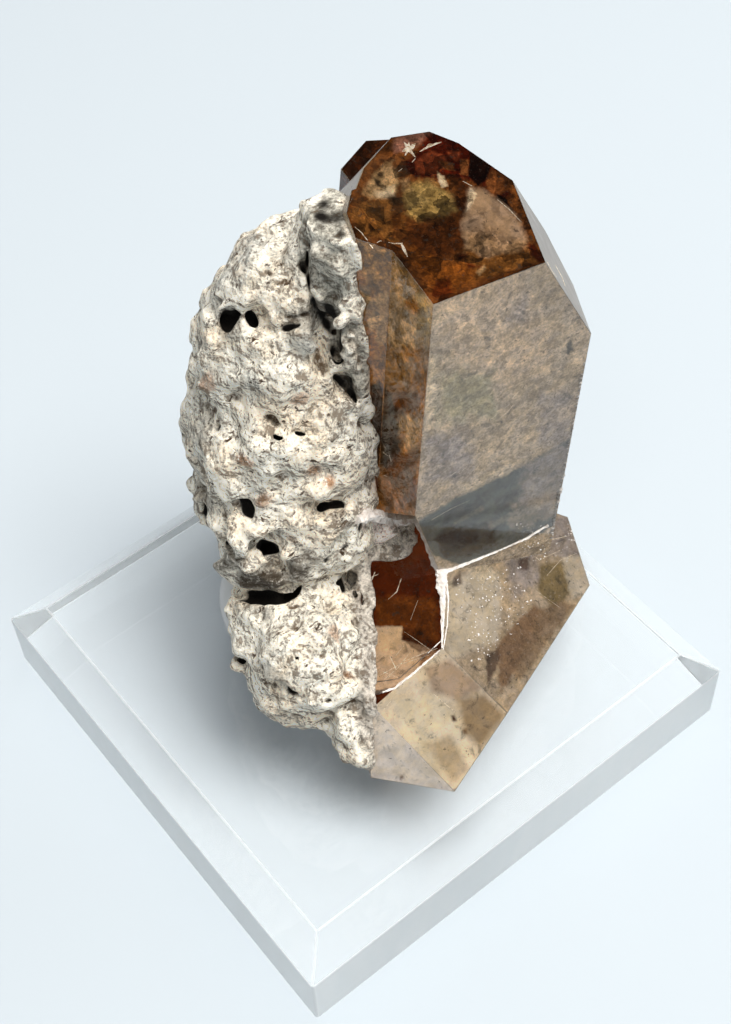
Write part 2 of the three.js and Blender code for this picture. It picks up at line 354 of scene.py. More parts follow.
# Hollows in the front of the rock, in the specimen's frame, in mm: the point on the
# surface, half width, half height, tilt in degrees, and depth.
HOLLOWS = [
    ((-8.9, 4.7, 49.6), 1.00, 0.80, 20, 2.2),      # the pair under the top knob
    ((-6.9, 4.1, 49.6), 0.90, 0.40, -50, 1.3),
    ((-5.1, 5.1, 53.7), 0.75, 0.45, -10, 0.7),
    ((-2.5, 5.5, 53.9), 0.28, 0.42, 0, 1.2),
    ((-3.4, 2.5, 50.2), 1.25, 0.28, 8, 1.3),       # slit
    ((-0.3, 2.6, 51.8), 1.05, 0.50, -25, 1.5),     # the hollow in the grey coat
    ((-6.2, -0.5, 42.7), 0.75, 0.20, -20, 0.9),
    ((-5.5, -1.2, 40.9), 0.85, 0.24, -25, 1.0),
    ((-3.8, -0.8, 40.8), 0.70, 0.16, -15, 0.7),
    ((-9.0, 0.2, 40.9), 0.40, 0.22, -35, 0.8),
    ((-12.4, 3.1, 39.8), 0.40, 0.85, 0, 1.3),
    ((-12.0, 2.0, 39.2), 0.65, 0.30, -20, 1.0),
    ((-6.5, -2.8, 37.0), 0.60, 0.22, -50, 0.6),
    ((-0.3, -0.3, 40.8), 0.40, 0.25, 0, 0.6),
    ((-1.1, -2.5, 33.0), 1.10, 0.34, 5, 1.4),
    ((-1.1, -4.5, 31.3), 0.55, 0.40, 0, 1.1),
    ((-8.4, -4.1, 30.1), 1.15, 0.80, -15, 2.4),    # the largest
    ((-7.2, -4.4, 29.6), 0.85, 0.75, 30, 2.2),
    ((-5.9, -4.7, 31.6), 1.15, 0.28, -10, 1.0),
    ((-5.5, -5.1, 31.0), 0.50, 0.26, -10, 0.8),
    ((-11.5, -2.0, 32.7), 0.30, 0.36, 0, 0.8),
    ((-11.1, -3.4, 28.6), 0.85, 0.36, 60, 0.9),
    ((-12.9, 1.2, 28.6), 0.42, 1.25, -10, 1.1),
    ((-9.3, -5.0, 30.4), 0.50, 0.16, 35, 0.6),
    ((-4.5, -5.6, 26.9), 0.26, 0.22, 0, 0.6),
    ((-2.1, -5.6, 22.8), 0.42, 0.26, 10, 0.9),
    ((-5.4, -11.9, 23.6), 0.40, 0.22, -20, 0.7),
    ((-7.6, -11.4, 23.2), 0.32, 0.26, 0, 0.7),
    ((-7.9, -12.5, 20.1), 0.90, 0.42, -20, 1.0),
    ((-2.7, -14.3, 19.9), 0.38, 0.24, 15, 0.8),
]

# Crevices: points along each with its half width there, and its depth, in mm.
CREVICES = [
    (2.2, [((-1.6, 7.4, 54.6), 0.12), ((-2.0, 6.2, 54.8), 0.14), ((-2.3, 5.2, 53.9), 0.16),
           ((-2.1, 4.0, 53.2), 0.18), ((-1.9, 3.3, 52.4), 0.26), ((-1.7, 2.7, 51.6), 0.45),
           ((-1.2, 3.0, 50.0), 0.85), ((-0.7, 2.7, 48.9), 1.0), ((-0.4, 2.2, 47.8), 0.75),
           ((-0.2, 2.0, 46.6), 0.45)]),
    (1.7, [((-0.5, 1.9, 44.6), 0.35), ((0.1, 1.9, 43.8), 0.55), ((0.7, 1.4, 43.1), 0.45),
           ((1.1, 1.0, 42.4), 0.2)]),
    (2.4, [((-11.3, -2.9, 21.6), 0.4), ((-10.6, -4.4, 23.1), 0.55), ((-9.6, -5.1, 23.7), 0.62),
           ((-8.0, -5.7, 24.0), 0.65), ((-6.4, -6.1, 24.4), 0.55), ((-5.3, -6.0, 24.6), 0.4),
           ((-4.6, -5.7, 25.8), 0.2)]),
    (1.3, [((-3.2, -5.3, 27.6), 0.16), ((-2.0, -4.8, 28.3), 0.3), ((-1.1, -4.3, 28.8), 0.38),
           ((-0.2, -4.0, 29.1), 0.25)]),
]

# The grey coat up the side of the crystal: centres and radii, in mm.
COAT = [
    ((-0.1, 6.7, 54.4), (2.1, 3.5, 4.2)), ((1.0, 3.6, 47.6), (0.95, 1.7, 3.4)),
    ((1.3, 2.9, 43.6), (0.7, 1.2, 2.0)),
]

# Knobs of white crumb on it: centre and radius.
KNOBS = [
    ((-0.8, 2.3, 51.3), 0.42), ((0.0, 1.9, 51.0), 0.52), ((0.6, 2.1, 51.1), 0.45), ((1.4, 2.3, 51.6), 0.5),
    ((1.0, 1.9, 49.5), 0.36), ((0.7, 1.7, 48.6), 0.42), ((1.0, 1.7, 48.2), 0.38), ((0.4, 1.6, 47.4), 0.45),
    ((1.1, 1.7, 46.9), 0.4), ((0.5, 1.5, 46.2), 0.42), ((1.3, 1.8, 45.6), 0.36), ((0.8, 1.4, 45.0), 0.35),
    ((1.6, 2.2, 44.4), 0.34), ((1.5, 2.0, 43.4), 0.3),
]

# Soft marks on the rock: centre, radius and strength.
STAINS = [
    ((-8.4, -2.3, 38.9), 0.7, 1.0), ((-7.3, -3.3, 35.3), 0.7, 1.0), ((-2.6, -2.4, 37.6), 0.7, 1.0),
    ((-1.6, -2.9, 36.7), 0.6, 1.0), ((-11.6, 2.6, 43.5), 1.2, 0.8), ((-5.5, -5.1, 31.0), 0.8, 0.9),
    ((-2.0, -9.6, 22.6), 0.9, 0.8), ((-1.0, -12.0, 20.2), 0.6, 1.0), ((0.0, -17.5, 17.5), 0.9, 1.0),
    ((-3.6, 0.4, 44.0), 0.6, 0.8),
]
# Painted shade where the rock lies in shadow, most of all under the overhanging lobe: centre, radius and
# strength.
SHADES = [
    ((-9.6, -5.0, 25.6), 1.7, 0.95), ((-7.6, -5.6, 26.0), 2.0, 0.95), ((-5.0, -5.7, 26.8), 1.5, 0.9),
    ((-12.5, 1.0, 31.0), 2.0, 0.5), ((-11.4, -4.0, 26.8), 1.7, 0.8), ((-2.2, 3.2, 50.5), 1.6, 0.7),
    ((-3.5, -5.0, 28.6), 1.0, 0.5), ((-7.2, -12.2, 21.6), 1.3, 0.55), ((-12.6, 2.0, 38.6), 1.4, 0.5),
    ((-4.0, 6.6, 54.5), 0.9, 0.4), ((-8.6, 4.8, 48.8), 1.3, 0.6), ((-6.6, -10.5, 12.6), 1.8, 0.4),
]
PALES = [
    ((2.6, 0.6, 26.2), 1.9, 0.9), ((1.2, -2.4, 30.6), 0.9, 0.8), ((3.8, 1.0, 25.4), 1.4, 0.9),
]
GREYS = [
    ((-7.6, 8.0, 53.0), 2.2, 0.8), ((-9.6, 7.0, 50.8), 1.4, 0.8), ((-2.4, 2.2, 48.6), 1.6, 0.7),
    ((-7.6, 1.2, 44.4), 1.3, 0.5), ((-12.0, 2.6, 35.0), 2.2, 0.5), ((-3.6, -11.6, 20.6), 1.6, 0.5),
    ((-6.8, -12.0, 16.0), 1.5, 0.6),
]

# Crust that creeps from the rock over the crystals: its edge, as points of height and
# how far right it reaches, and its thickness.
FILM_EDGE = [(10.0, 0.6), (15.0, 1.2), (18.6, 1.4), (20.5, 2.0), (23.0, 1.4), (25.0, 1.0), (28.5, 0.4),
             (31.0, 0.6), (34.0, 1.5), (38.0, 1.3), (42.0, 1.6), (46.0, 2.0), (52.0, 2.3), (56.0, 2.2),
             (60.0, 1.4)]
FILM_THICK = 0.20
FILM_BACK = 8.0                        # how far back it goes

# The front view's directions in the specimen's frame.
FRONT_RIGHT = np.array((1.0, 0.0, 0.0))
FRONT_UP = np.array((0.0, 0.788, 0.616))
FRONT_OUT = np.array((0.0, -0.616, 0.788))


# A step towards the light, which shades the crags that are too fine for the mesh.
LIGHT_STEP = np.array((0.235, -0.407, 0.883)) * 0.20 * MM


def rock_material():
    material, tree = new_material("rhyolite")
    patches = noise_field(tree, 4.5, 4, 0.6, (0.01, 0, 0))
    blots = noise_field(tree, 1.3, 5, 0.72, (0, 0.02, 0), distort=0.6)
    grain = noise_field(tree, 0.42, 4, 0.8)
    clusters = noise_field(tree, 2.6, 4, 0.65, (0.05, 0.03, 0.01))
    tone = mix(tree, between(tree, patches, 0.34, 0.56), (0.95, 0.82, 0.64), (1.0, 0.94, 0.81))
    tone = mix(tree, between(tree, blots, 0.60, 0.72, 0.0, 0.35), tone, (0.68, 0.58, 0.46))
    tone = mix(tree, between(tree, blots, 0.45, 0.34, 0.0, 0.8), tone, (0.99, 0.94, 0.83))
    greyed = times(tree, attribute(tree, "grey"), between(tree, blots, 0.36, 0.58, 0.3, 1.0))
    tone = mix(tree, greyed, tone, (0.43, 0.43, 0.40))
    rust = noise_field(tree, 1.9, 5, 0.7, (0.03, 0.01, 0.02), distort=0.6)
    stain = times(tree, attribute(tree, "stain"), between(tree, grain, 0.35, 0.55, 0.55, 1.0))
    rust = maths(tree, "MAXIMUM", between(tree, rust, 0.64, 0.74, 0.0, 0.5), stain)
    tone = mix(tree, rust, tone, (0.40, 0.19, 0.08))
    tone = mix(tree, between(tree, grain, 0.52, 0.64, 0.0, 0.85), tone, (1.0, 0.97, 0.88))
    tone = mix(tree, between(tree, grain, 0.45, 0.33, 0.0, 0.5), tone, (0.50, 0.38, 0.26))
    dashes = noise_field(tree, 0.75, 4, 0.66, (0.07, 0.02, 0.04), (0.7, 1, 1.5), 0.9)
    dashes = times(tree, between(tree, dashes, 0.58, 0.64), between(tree, clusters, 0.38, 0.52, 0.25, 1.0))
    tone = mix(tree, dashes, tone, (0.085, 0.055, 0.035))
    specks = noise_field(tree, 0.34, 3, 0.6, (0.02, 0.03, 0), distort=0.8)
    dots = times(tree, between(tree, specks, 0.61, 0.68), between(tree, clusters, 0.44, 0.58, 0.15, 0.95))
    tone = mix(tree, dots, tone, (0.07, 0.05, 0.035))
    film = times(tree, attribute(tree, "film"), between(tree, blots, 0.35, 0.6, 0.75, 1.0))
    filmed = mix(tree, between(tree, blots, 0.40, 0.58), (0.66, 0.60, 0.53), (0.42, 0.37, 0.31))
    tone = mix(tree, film, tone, filmed)
    coat = times(tree, attribute(tree, "coat"), between(tree, blots, 0.34, 0.5, 0.55, 1.0))
    coated = mix(tree, between(tree, grain, 0.38, 0.62), (0.20, 0.185, 0.15), (0.60, 0.57, 0.49))
    tone = mix(tree, coat, tone, coated)
    crumb = times(tree, attribute(tree, "crumb"), between(tree, grain, 0.36, 0.55, 0.25, 1.0))
    tone = mix(tree, crumb, tone, (0.80, 0.74, 0.63))
    tone = mix(tree, attribute(tree, "pale"), tone, (0.95, 0.83, 0.76))
    # Painted light and shade: the crags' noise less the same noise a step towards the light lightens and
    # darkens the colour, down to dark brown.
    crags, raised = (noise_field(tree, 2.4, 6, 0.64, (0.03 + step[0], 0.02 + step[1], step[2]), distort=0.2)
                     for step in ((0, 0, 0), tuple(LIGHT_STEP)))
    lit = between(tree, maths(tree, "SUBTRACT", crags, raised), -0.060, 0.042, 0.50, 1.32)
    tone = dimmed(tree, tone, lit)
    tone = mix(tree, between(tree, lit, 0.62, 0.52, 0.0, 0.5), tone, (0.22, 0.145, 0.085))
    # Painted shade: dark brown in the valleys and creases that the cavity mask finds.
    valley_shade = times(tree, between(tree, attribute(tree, "low"), 0.15, 0.85),
                 between(tree, grain, 0.62, 0.46, 0.35, 0.95))
    tone = mix(tree, valley_shade, tone, (0.13, 0.085, 0.05))
    # Painted shade where the shade marks lie.
    shade = times(tree, attribute(tree, "shade"), between(tree, grain, 0.66, 0.50, 0.5, 1.0))
    tone = mix(tree, shade, tone, (0.060, 0.045, 0.030))
    # Painted shadow: near black deep in the pits and hollows.
    tone = mix(tree, between(tree, attribute(tree, "pit_shadow"), 0.10, 0.60), tone, (0.012, 0.010, 0.008))
    crinkle = noise_field(tree, 1.1, 5, 0.66, (0.02, 0.07, 0.04), distort=0.5)
    crinkle = maths(tree, "SUBTRACT", 0.5, maths(tree, "ABSOLUTE", maths(tree, "SUBTRACT", crinkle, 0.5)))
    relief = bump(tree, crinkle, 1.0 * MM, 0.8)
    relief = bump(tree, grain, 0.22 * MM, 0.8, relief)
    relief = bump(tree, blots, 0.40 * MM, 0.7, relief)
    finish_shader(tree, Base_Color=tone, Roughness=between(tree, grain, 0.3, 0.7, 0.80, 0.97),
                  Specular_IOR_Level=0.35, Normal=relief)
    return material


class RockGrid:
    """Values at evenly spaced points round the rock, in the specimen's frame, in mm."""

    def __init__(self, cad_node):
        corners, triangles = own_mesh(cad_node)
        self.first = np.floor((corners.min(axis=0) - ROCK_MARGIN) / ROCK_CELL).astype(int)
        last = np.ceil((corners.max(axis=0) + ROCK_MARGIN) / ROCK_CELL).astype(int)
        self.shape = tuple(last - self.first + 1)
        self.axes = [(np.arange(n) + start) * ROCK_CELL for n, start in zip(self.shape, self.first)]

    def distance(self, cad_node):
        """How far each point is outside a CAD node, and negative inside it."""
        corners, triangles = own_mesh(cad_node)
        level_set = openvdb.FloatGrid.createLevelSetFromPolygons(
            corners, triangles=triangles, transform=openvdb.createLinearTransform(ROCK_CELL),
            halfWidth=ROCK_BAND / ROCK_CELL)
        values = np.zeros(self.shape, np.float32)
        level_set.copyToArray(values, ijk=tuple(int(n) for n in self.first))
        return values

    def noise(self, size, seed):
        """Smooth noise with a spread of 1, its swells about `size` mm across."""
        step = size / ROCK_CELL
        field = np.random.default_rng(seed).standard_normal([int(n / step) + 5 for n in self.shape])
        for axis, count in enumerate(self.shape):
            at = np.arange(count) / step
            base = at.astype(int)
            t = (at - base).reshape([-1 if k == axis else 1 for k in range(3)])
            weights = ((1 - t) ** 3, 3 * t ** 3 - 6 * t * t + 4, 1 + 3 * (t + t * t - t ** 3), t ** 3)
            field = sum(weight * np.take(field, base + k, axis) for k, weight in enumerate(weights)) / 6
        return (field / field.std()).astype(np.float32)

    def window(self, low, high):
        """The part of the grid between two corners, and its points' places along each axis."""
        part = []
        for k in range(3):
            start, stop = np.searchsorted(self.axes[k], (low[k], high[k]))
            part.append(slice(max(start - 1, 0), stop + 1))
        places = [axis[cut].reshape([-1 if k == n else 1 for n in range(3)])
                  for k, (axis, cut) in enumerate(zip(self.axes, part))]
        return tuple(part), places

    def sample(self, values, points):
        """The value at any points, between the grid's own."""
        at = points / ROCK_CELL - self.first
        base = np.clip(np.floor(at).astype(int), 0, np.array(self.shape) - 2)
        t = at - base
        total = np.zeros(len(points))
        for corner in np.ndindex(2, 2, 2):
            weight = np.prod(np.where(corner, t, 1 - t), axis=1)
            total += weight * values[tuple((base + corner).T)]
        return total

    def mesh(self, field):
        """The corners and four-sided faces of the surface where the field is zero."""
        level_set = openvdb.FloatGrid(ROCK_BAND)
        level_set.transform = openvdb.createLinearTransform(ROCK_CELL)
        level_set.gridClass = openvdb.GridClass.LEVEL_SET
        level_set.copyFromArray(field.astype(np.float32), ijk=tuple(int(n) for n in self.first))
        points, quads = level_set.convertToQuads(isovalue=0.0)
        return largest_part(points, quads.astype(int))


def own_mesh(cad_node):
    """A CAD node's corners in the specimen's frame, in mm, and its triangles."""
    made = welded_copy(cad_node)
    bmesh.ops.triangulate(made, faces=made.faces)
    made.verts.index_update()
    corners = np.array([TO_WORLD.transposed() @ vertex.co / MM for vertex in made.verts], np.float32)
    triangles = np.array([[vertex.index for vertex in face.verts] for face in made.faces], np.uint32)
    made.free()
    return corners, triangles


def largest_part(points, quads):
    """The largest connected part of a mesh, without loose crumbs and closed bubbles."""
    label = np.arange(len(points))
    while True:
        lower = label.copy()
        np.minimum.at(lower, quads.ravel(), np.repeat(label[quads].min(axis=1), 4))
        lower = lower[lower]
        if np.array_equal(lower, label):
            break
        label = lower
    kept = label == np.bincount(label).argmax()
    number = np.cumsum(kept) - 1
    return points[kept], number[quads[kept[quads[:, 0]]]][:, ::-1]


def front_offsets(places, centre, tilt):
    """How far grid places are from a point: along and across a tilted line seen from the front, and out."""
    away = [place - c for place, c in zip(places, centre)]
    right, up, out = (sum(part * weight for part, weight in zip(away, axis))
                      for axis in (FRONT_RIGHT, FRONT_UP, FRONT_OUT))
    c, s = math.cos(math.radians(tilt)), math.sin(math.radians(tilt))
    return right * c + up * s, up * c - right * s, out


def softened(values, reach):
    """The values averaged over a box of grid points that reaches `reach` points each way."""
    for axis in range(3):
        values = sum(np.roll(values, step, axis) for step in range(-reach, reach + 1)) / (2 * reach + 1)
    return values


def carve_hollow(grid, field, ragged, centre, wide, tall, tilt, depth):
    reach = 1.5 * max(wide, tall, depth)
    part, places = grid.window(np.array(centre) - reach, np.array(centre) + reach)
    along, across, out = front_offsets(places, centre, tilt)
    radius = np.sqrt((along / wide) ** 2 + (across / tall) ** 2 + (out / depth) ** 2)
    hollow = (radius - 1 + 0.46 * ragged[part]) * min(wide, tall)
    field[part] = np.maximum(field[part], -hollow)


def carve_crevice(grid, field, ragged, depth, line):
    for (start, wide), (end, narrow) in zip(line, line[1:]):
        a, b = np.array(start), np.array(end)
        reach = depth + max(wide, narrow) + 0.3
        part, places = grid.window(np.minimum(a, b) - reach, np.maximum(a, b) + reach)
        ends = front_offsets(b, a, 0)
        away = front_offsets(places, a, 0)
        share = np.clip((away[0] * ends[0] + away[1] * ends[1]) / (ends[0] ** 2 + ends[1] ** 2), 0, 1)
        width = wide + (narrow - wide) * share
        gap = np.sqrt((away[0] - share * ends[0]) ** 2 + (away[1] - share * ends[1]) ** 2
                      + ((away[2] - share * ends[2]) * width / depth) ** 2)
        field[part] = np.maximum(field[part], width * (1 - 0.25 * ragged[part]) - gap)


def grow(grid, field, centre, radii, join, rough):
    """Adds an oval lump, rough by a field of noise, that runs into the field over `join` mm."""
    reach = max(radii) + 1.0
    part, places = grid.window(np.array(centre) - reach, np.array(centre) + reach)
    radius = np.sqrt(sum(((place - c) / r) ** 2 for place, c, r in zip(places, centre, radii)))
    lump = (radius - 1) * min(radii) + rough[part]
    blend = np.clip(0.5 + 0.5 * (field[part] - lump) / join, 0, 1)
    field[part] = field[part] * (1 - blend) + lump * blend - join * blend * (1 - blend)


def fill_pores(grid, pores, centre, radii):
    """Takes the pores out of an oval."""
    part, places = grid.window(centre - 1.3 * radii, centre + 1.3 * radii)
    away = sum(((place - c) / r) ** 2 for place, c, r in zip(places, centre, radii))
    pores[part] = np.where(away < 1.6, -1.0, pores[part])


def marks(points, ragged, spots, edge):
    """How much of any soft mark lies on each point."""
    total = np.zeros(len(points))
    for centre, radius, strength in spots:
        away = np.linalg.norm(points - np.array(centre), axis=1) + ragged * 0.3 * radius
        total = np.maximum(total, strength * np.clip((radius + edge - away) / (2 * edge), 0, 1))
    return total


def ramp(values, low, high):
    return np.clip((values - low) / (high - low), 0, 1)


def rhyolite_matrix():
    grid = RockGrid("rhyolite_matrix")
    solid, crystals = grid.distance("rhyolite_matrix"), grid.distance("topaz_crystals")
    ragged = grid.noise(0.75, 11)
    seat = ramp(crystals, 1.1, 0.3)
    billows = np.abs(grid.noise(1.9, 2))
    crumbs = grid.noise(0.9, 3)
    fine = grid.noise(0.6, 4)
    relief = 0.32 * grid.noise(4.4, 1) + 0.28 * (billows - 0.8) + 0.18 * crumbs + 0.11 * fine
    body = solid.copy()
    for centre, radii in COAT:
        grow(grid, body, centre, radii, 0.5, 0.1 * ragged)
    surface = body - relief * (1 - 0.5 * seat) + 0.10 - 0.40 * seat
    pores = np.minimum(grid.noise(1.15, 5) - 2.0, grid.noise(2.6, 6) + 0.6) * 0.7
    for centre, radii in COAT:
        fill_pores(grid, pores, np.array(centre), np.array(radii))
    field = np.maximum(surface, np.minimum(pores, surface + 0.9))
    for hollow in HOLLOWS:
        carve_hollow(grid, field, ragged, *hollow)
    for depth, line in CREVICES:
        carve_crevice(grid, field, ragged, depth, line)
    lumpy = 0.12 * grid.noise(0.55, 7)
    for centre, radius in KNOBS:
        grow(grid, field, centre, (1.1 * radius, 1.2 * radius, radius), 0.3, lumpy)
    edge = np.interp(grid.axes[2], *zip(*FILM_EDGE)).reshape(1, 1, -1)
    film = np.maximum(crystals - FILM_THICK - 0.07 * grid.noise(0.7, 8),
                      grid.axes[0].reshape(-1, 1, 1) - edge - 0.16 * grid.noise(1.4, 9) - 0.08 * ragged)
    film = np.maximum(film, grid.axes[1].reshape(1, -1, 1) - FILM_BACK)
    field = np.minimum(field, film)
    field = np.maximum(field, -(crystals + ROCK_SINK))

    points, quads = grid.mesh(field)
    mesh = bpy.data.meshes.new("rhyolite_rock")
    turned = points @ np.array(TO_WORLD.transposed()) * MM
    mesh.from_pydata(turned.tolist(), [], quads.tolist())
    rock = new_object("rhyolite_rock", mesh)
    rough = grid.sample(ragged, points)
    # Depth below the rock's face before its pores, hollows and crevices were cut, for painted shadow in the
    # pits.
    hidden = grid.sample(np.minimum(surface, film), points)
    # A cavity mask from the softened field, for painted shade in the valleys and creases.
    near, wide = (grid.sample(softened(field, reach), points) for reach in (1, 4))
    valleys = np.maximum(ramp(near, -0.025, -0.11), ramp(wide, -0.16, -0.50))
    coats = np.min([np.linalg.norm((points - c) / (np.array(r) + 0.35), axis=1) for c, r in COAT], axis=0)
    knobs = np.min([np.linalg.norm(points - c, axis=1) - r for c, r in KNOBS], axis=0)
    filmed = np.minimum(ramp(grid.sample(crystals, points), 1.3, 0.5), ramp(points[:, 2], 28.0, 24.0))
    for name, values in (
            ("pit_shadow", ramp(hidden, -0.20, -0.85)), ("low", valleys), ("film", filmed),
            ("coat", ramp(coats + 0.1 * rough, 1.12, 1.0)), ("crumb", ramp(knobs + 0.1 * rough, 0.22, 0.02))):
        store(mesh, name, values)
    for name, spots, soft in (("pale", PALES, 0.4), ("stain", STAINS, 0.25),
                              ("shade", SHADES, 0.7), ("grey", GREYS, 0.7)):
        store(mesh, name, marks(points, rough, spots, soft))
    mesh.shade_smooth()
    adopt(rock, "rhyolite", rock_material(), "rhyolite_matrix")
    return rock


# ------------------------------------------------------------------ topaz

# The crystals' faces: azimuth and elevation in the specimen's frame, a point on it in mm,
# and its frost, from clear (0) to satin (1).
FACES = {
    "end window": (-66.4, 79, (7.4, -2.7, 57.0), 0.00),
    "broad front": (-66.4, 0, (7.4, -2.7, 57.0), 0.16),
    "left front": (-149.3, 4.2, (7.4, -2.7, 57.0), 0.05),
    "shoulder": (-112, 3, (5.45, 1.9, 58.5), 0.10),
    "slope": (8, 25, (16.3, 1.2, 57.0), 0.85),
    "right side": (7, -4, (20.8, 3.1, 46.3), 0.75),
    "right back": (50, 0, (20.0, 9.2, 46.7), 0.60),
    "back": (113.6, 0, (14.6, 13.8, 57.0), 0.60),
    "back corner": (42, 27, (14.0, 9.6, 58.5), 0.80),
    "back slope": (58, 30, (11.8, 12.2, 59.1), 0.80),
    "back left slope": (100, 34, (8.7, 14.2, 59.6), 0.70),
    "left back slope": (146, 34, (5.0, 13.4, 59.8), 0.60),
    "left slope": (166, 32, (1.1, 5.9, 58.8), 0.70),
    "small top": (-66.4, 79, (0.9, 15.7, 55.0), 0.00),
    "small left": (-149.3, 4.2, (0.9, 15.7, 55.0), 0.05),
    "lower window": (-77.7, 70.8, (7.7, -9.2, 19.7), 0.00),
    "lower right": (-33.9, 56.9, (7.7, -9.2, 19.7), 0.12),
    "lower front": (-63.9, 54.0, (7.7, -9.2, 19.7), 0.03),
    "tip": (-112.1, 24.5, (8.1, -20.0, 12.5), 0.30),
}
OTHER_FROST = 0.6

# Colours seen inside the crystals, as a screen shows them, painted reflections among them.
TONES = {
    "black": (20, 10, 7), "soot": (50, 47, 42), "dark red": (60, 21, 10), "rust": (104, 52, 32),
    "amber brown": (104, 64, 36), "umber": (84, 52, 27), "brown": (104, 70, 36),
    "dark brown": (64, 37, 19), "deep amber": (72, 34, 12), "amber": (94, 56, 24),
    "tan": (142, 118, 86), "cream": (206, 192, 164), "olive": (118, 100, 62), "mauve": (152, 130, 108),
    "taupe": (130, 106, 80), "plum": (114, 82, 70), "fire": (114, 68, 29), "rose": (116, 86, 66),
    "beige": (166, 150, 131), "shell": (198, 184, 160), "olive grey": (126, 122, 102),
    "lavender": (132, 124, 120), "slate": (76, 79, 77), "stone": (150, 137, 120),
    "pale": (200, 187, 166), "grey mauve": (150, 139, 132), "sand": (174, 155, 130),
    "wheat": (202, 186, 160), "ash rose": (190, 177, 163), "tawny": (112, 84, 48),
}

# The veils under the faces, sheets that carry the crystals' own clouding and painted reflections: tone,
# depth in mm, spacing of the mesh in mm, and from 0 to 1 how streaked, sugary, grainy and broken into
# shards they look, and how much they hide, and then what their colours are multiplied by, for the light
# that the face over them mirrors.
VEIL_LOOKS = ("streak", "sugar", "grain", "shards", "cover")
VEILS_AND_REFLECTIONS = {
    "end window": ("umber", 0.8, 0.10, (0.0, 0.02, 0.6, 0.6, 0.97), (1.0, 0.92, 0.84)),
    "broad front": ("stone", 0.25, 0.14, (0.12, 0.03, 0.55, 0.05, 0.96), (0.87, 0.85, 0.81)),
    "left front": ("brown", 0.45, 0.10, (0.0, 0.03, 0.75, 0.4, 0.97), (0.88, 0.84, 0.76)),
    "shoulder": ("brown", 0.45, 0.10, (0.0, 0.03, 0.75, 0.4, 0.97), (0.88, 0.84, 0.76)),
    "small top": ("dark brown", 0.35, 0.14, (0.0, 0.0, 0.7, 0.6, 0.95), (0.6, 0.5, 0.5)),
    "small left": ("dark brown", 0.35, 0.14, (0.0, 0.0, 0.7, 0.6, 0.95), (0.6, 0.5, 0.5)),
    "lower window": ("deep amber", 0.8, 0.10, (0.0, 0.02, 0.45, 0.25, 0.96), (0.94, 0.76, 0.62)),
    "lower right": ("sand", 0.4, 0.12, (0.0, 0.12, 0.30, 0.06, 0.96), (0.86, 0.86, 0.86)),
    "lower front": ("wheat", 0.5, 0.14, (0.15, 0.0, 0.10, 0.02, 0.95), (1.0, 1.02, 1.06)),
    "tip": ("ash rose", 0.3, 0.16, (0.2, 0.0, 0.04, 0.0, 0.95), (0.92, 0.98, 1.04)),
}
# Painted glow: the veils' emission, which stands in for the light that they would gather.
PAINTED_VEIL_GLOW = 0.8                        # light that a veil gathers from the other faces
# What the softness and raggedness of the marks' rims is multiplied by, face by face.
VEIL_SOFTNESS = 0.28                   # where it isn't given
VEIL_SOFT = {"broad front": 0.6, "tip": 0.6, "lower right": 0.6, "lower front": 1.0, "lower window": 0.6,
             "end window": 0.7, "left front": 0.5, "shoulder": 0.5}
VEIL_RAGGED = {"lower right": 0.5, "lower front": 0.25, "lower window": 0.6, "end window": 0.7}
# Tones that are drawn with less grain and fewer shards.
CALM_TONES = ("mauve", "pale", "cream", "slate", "deep amber")
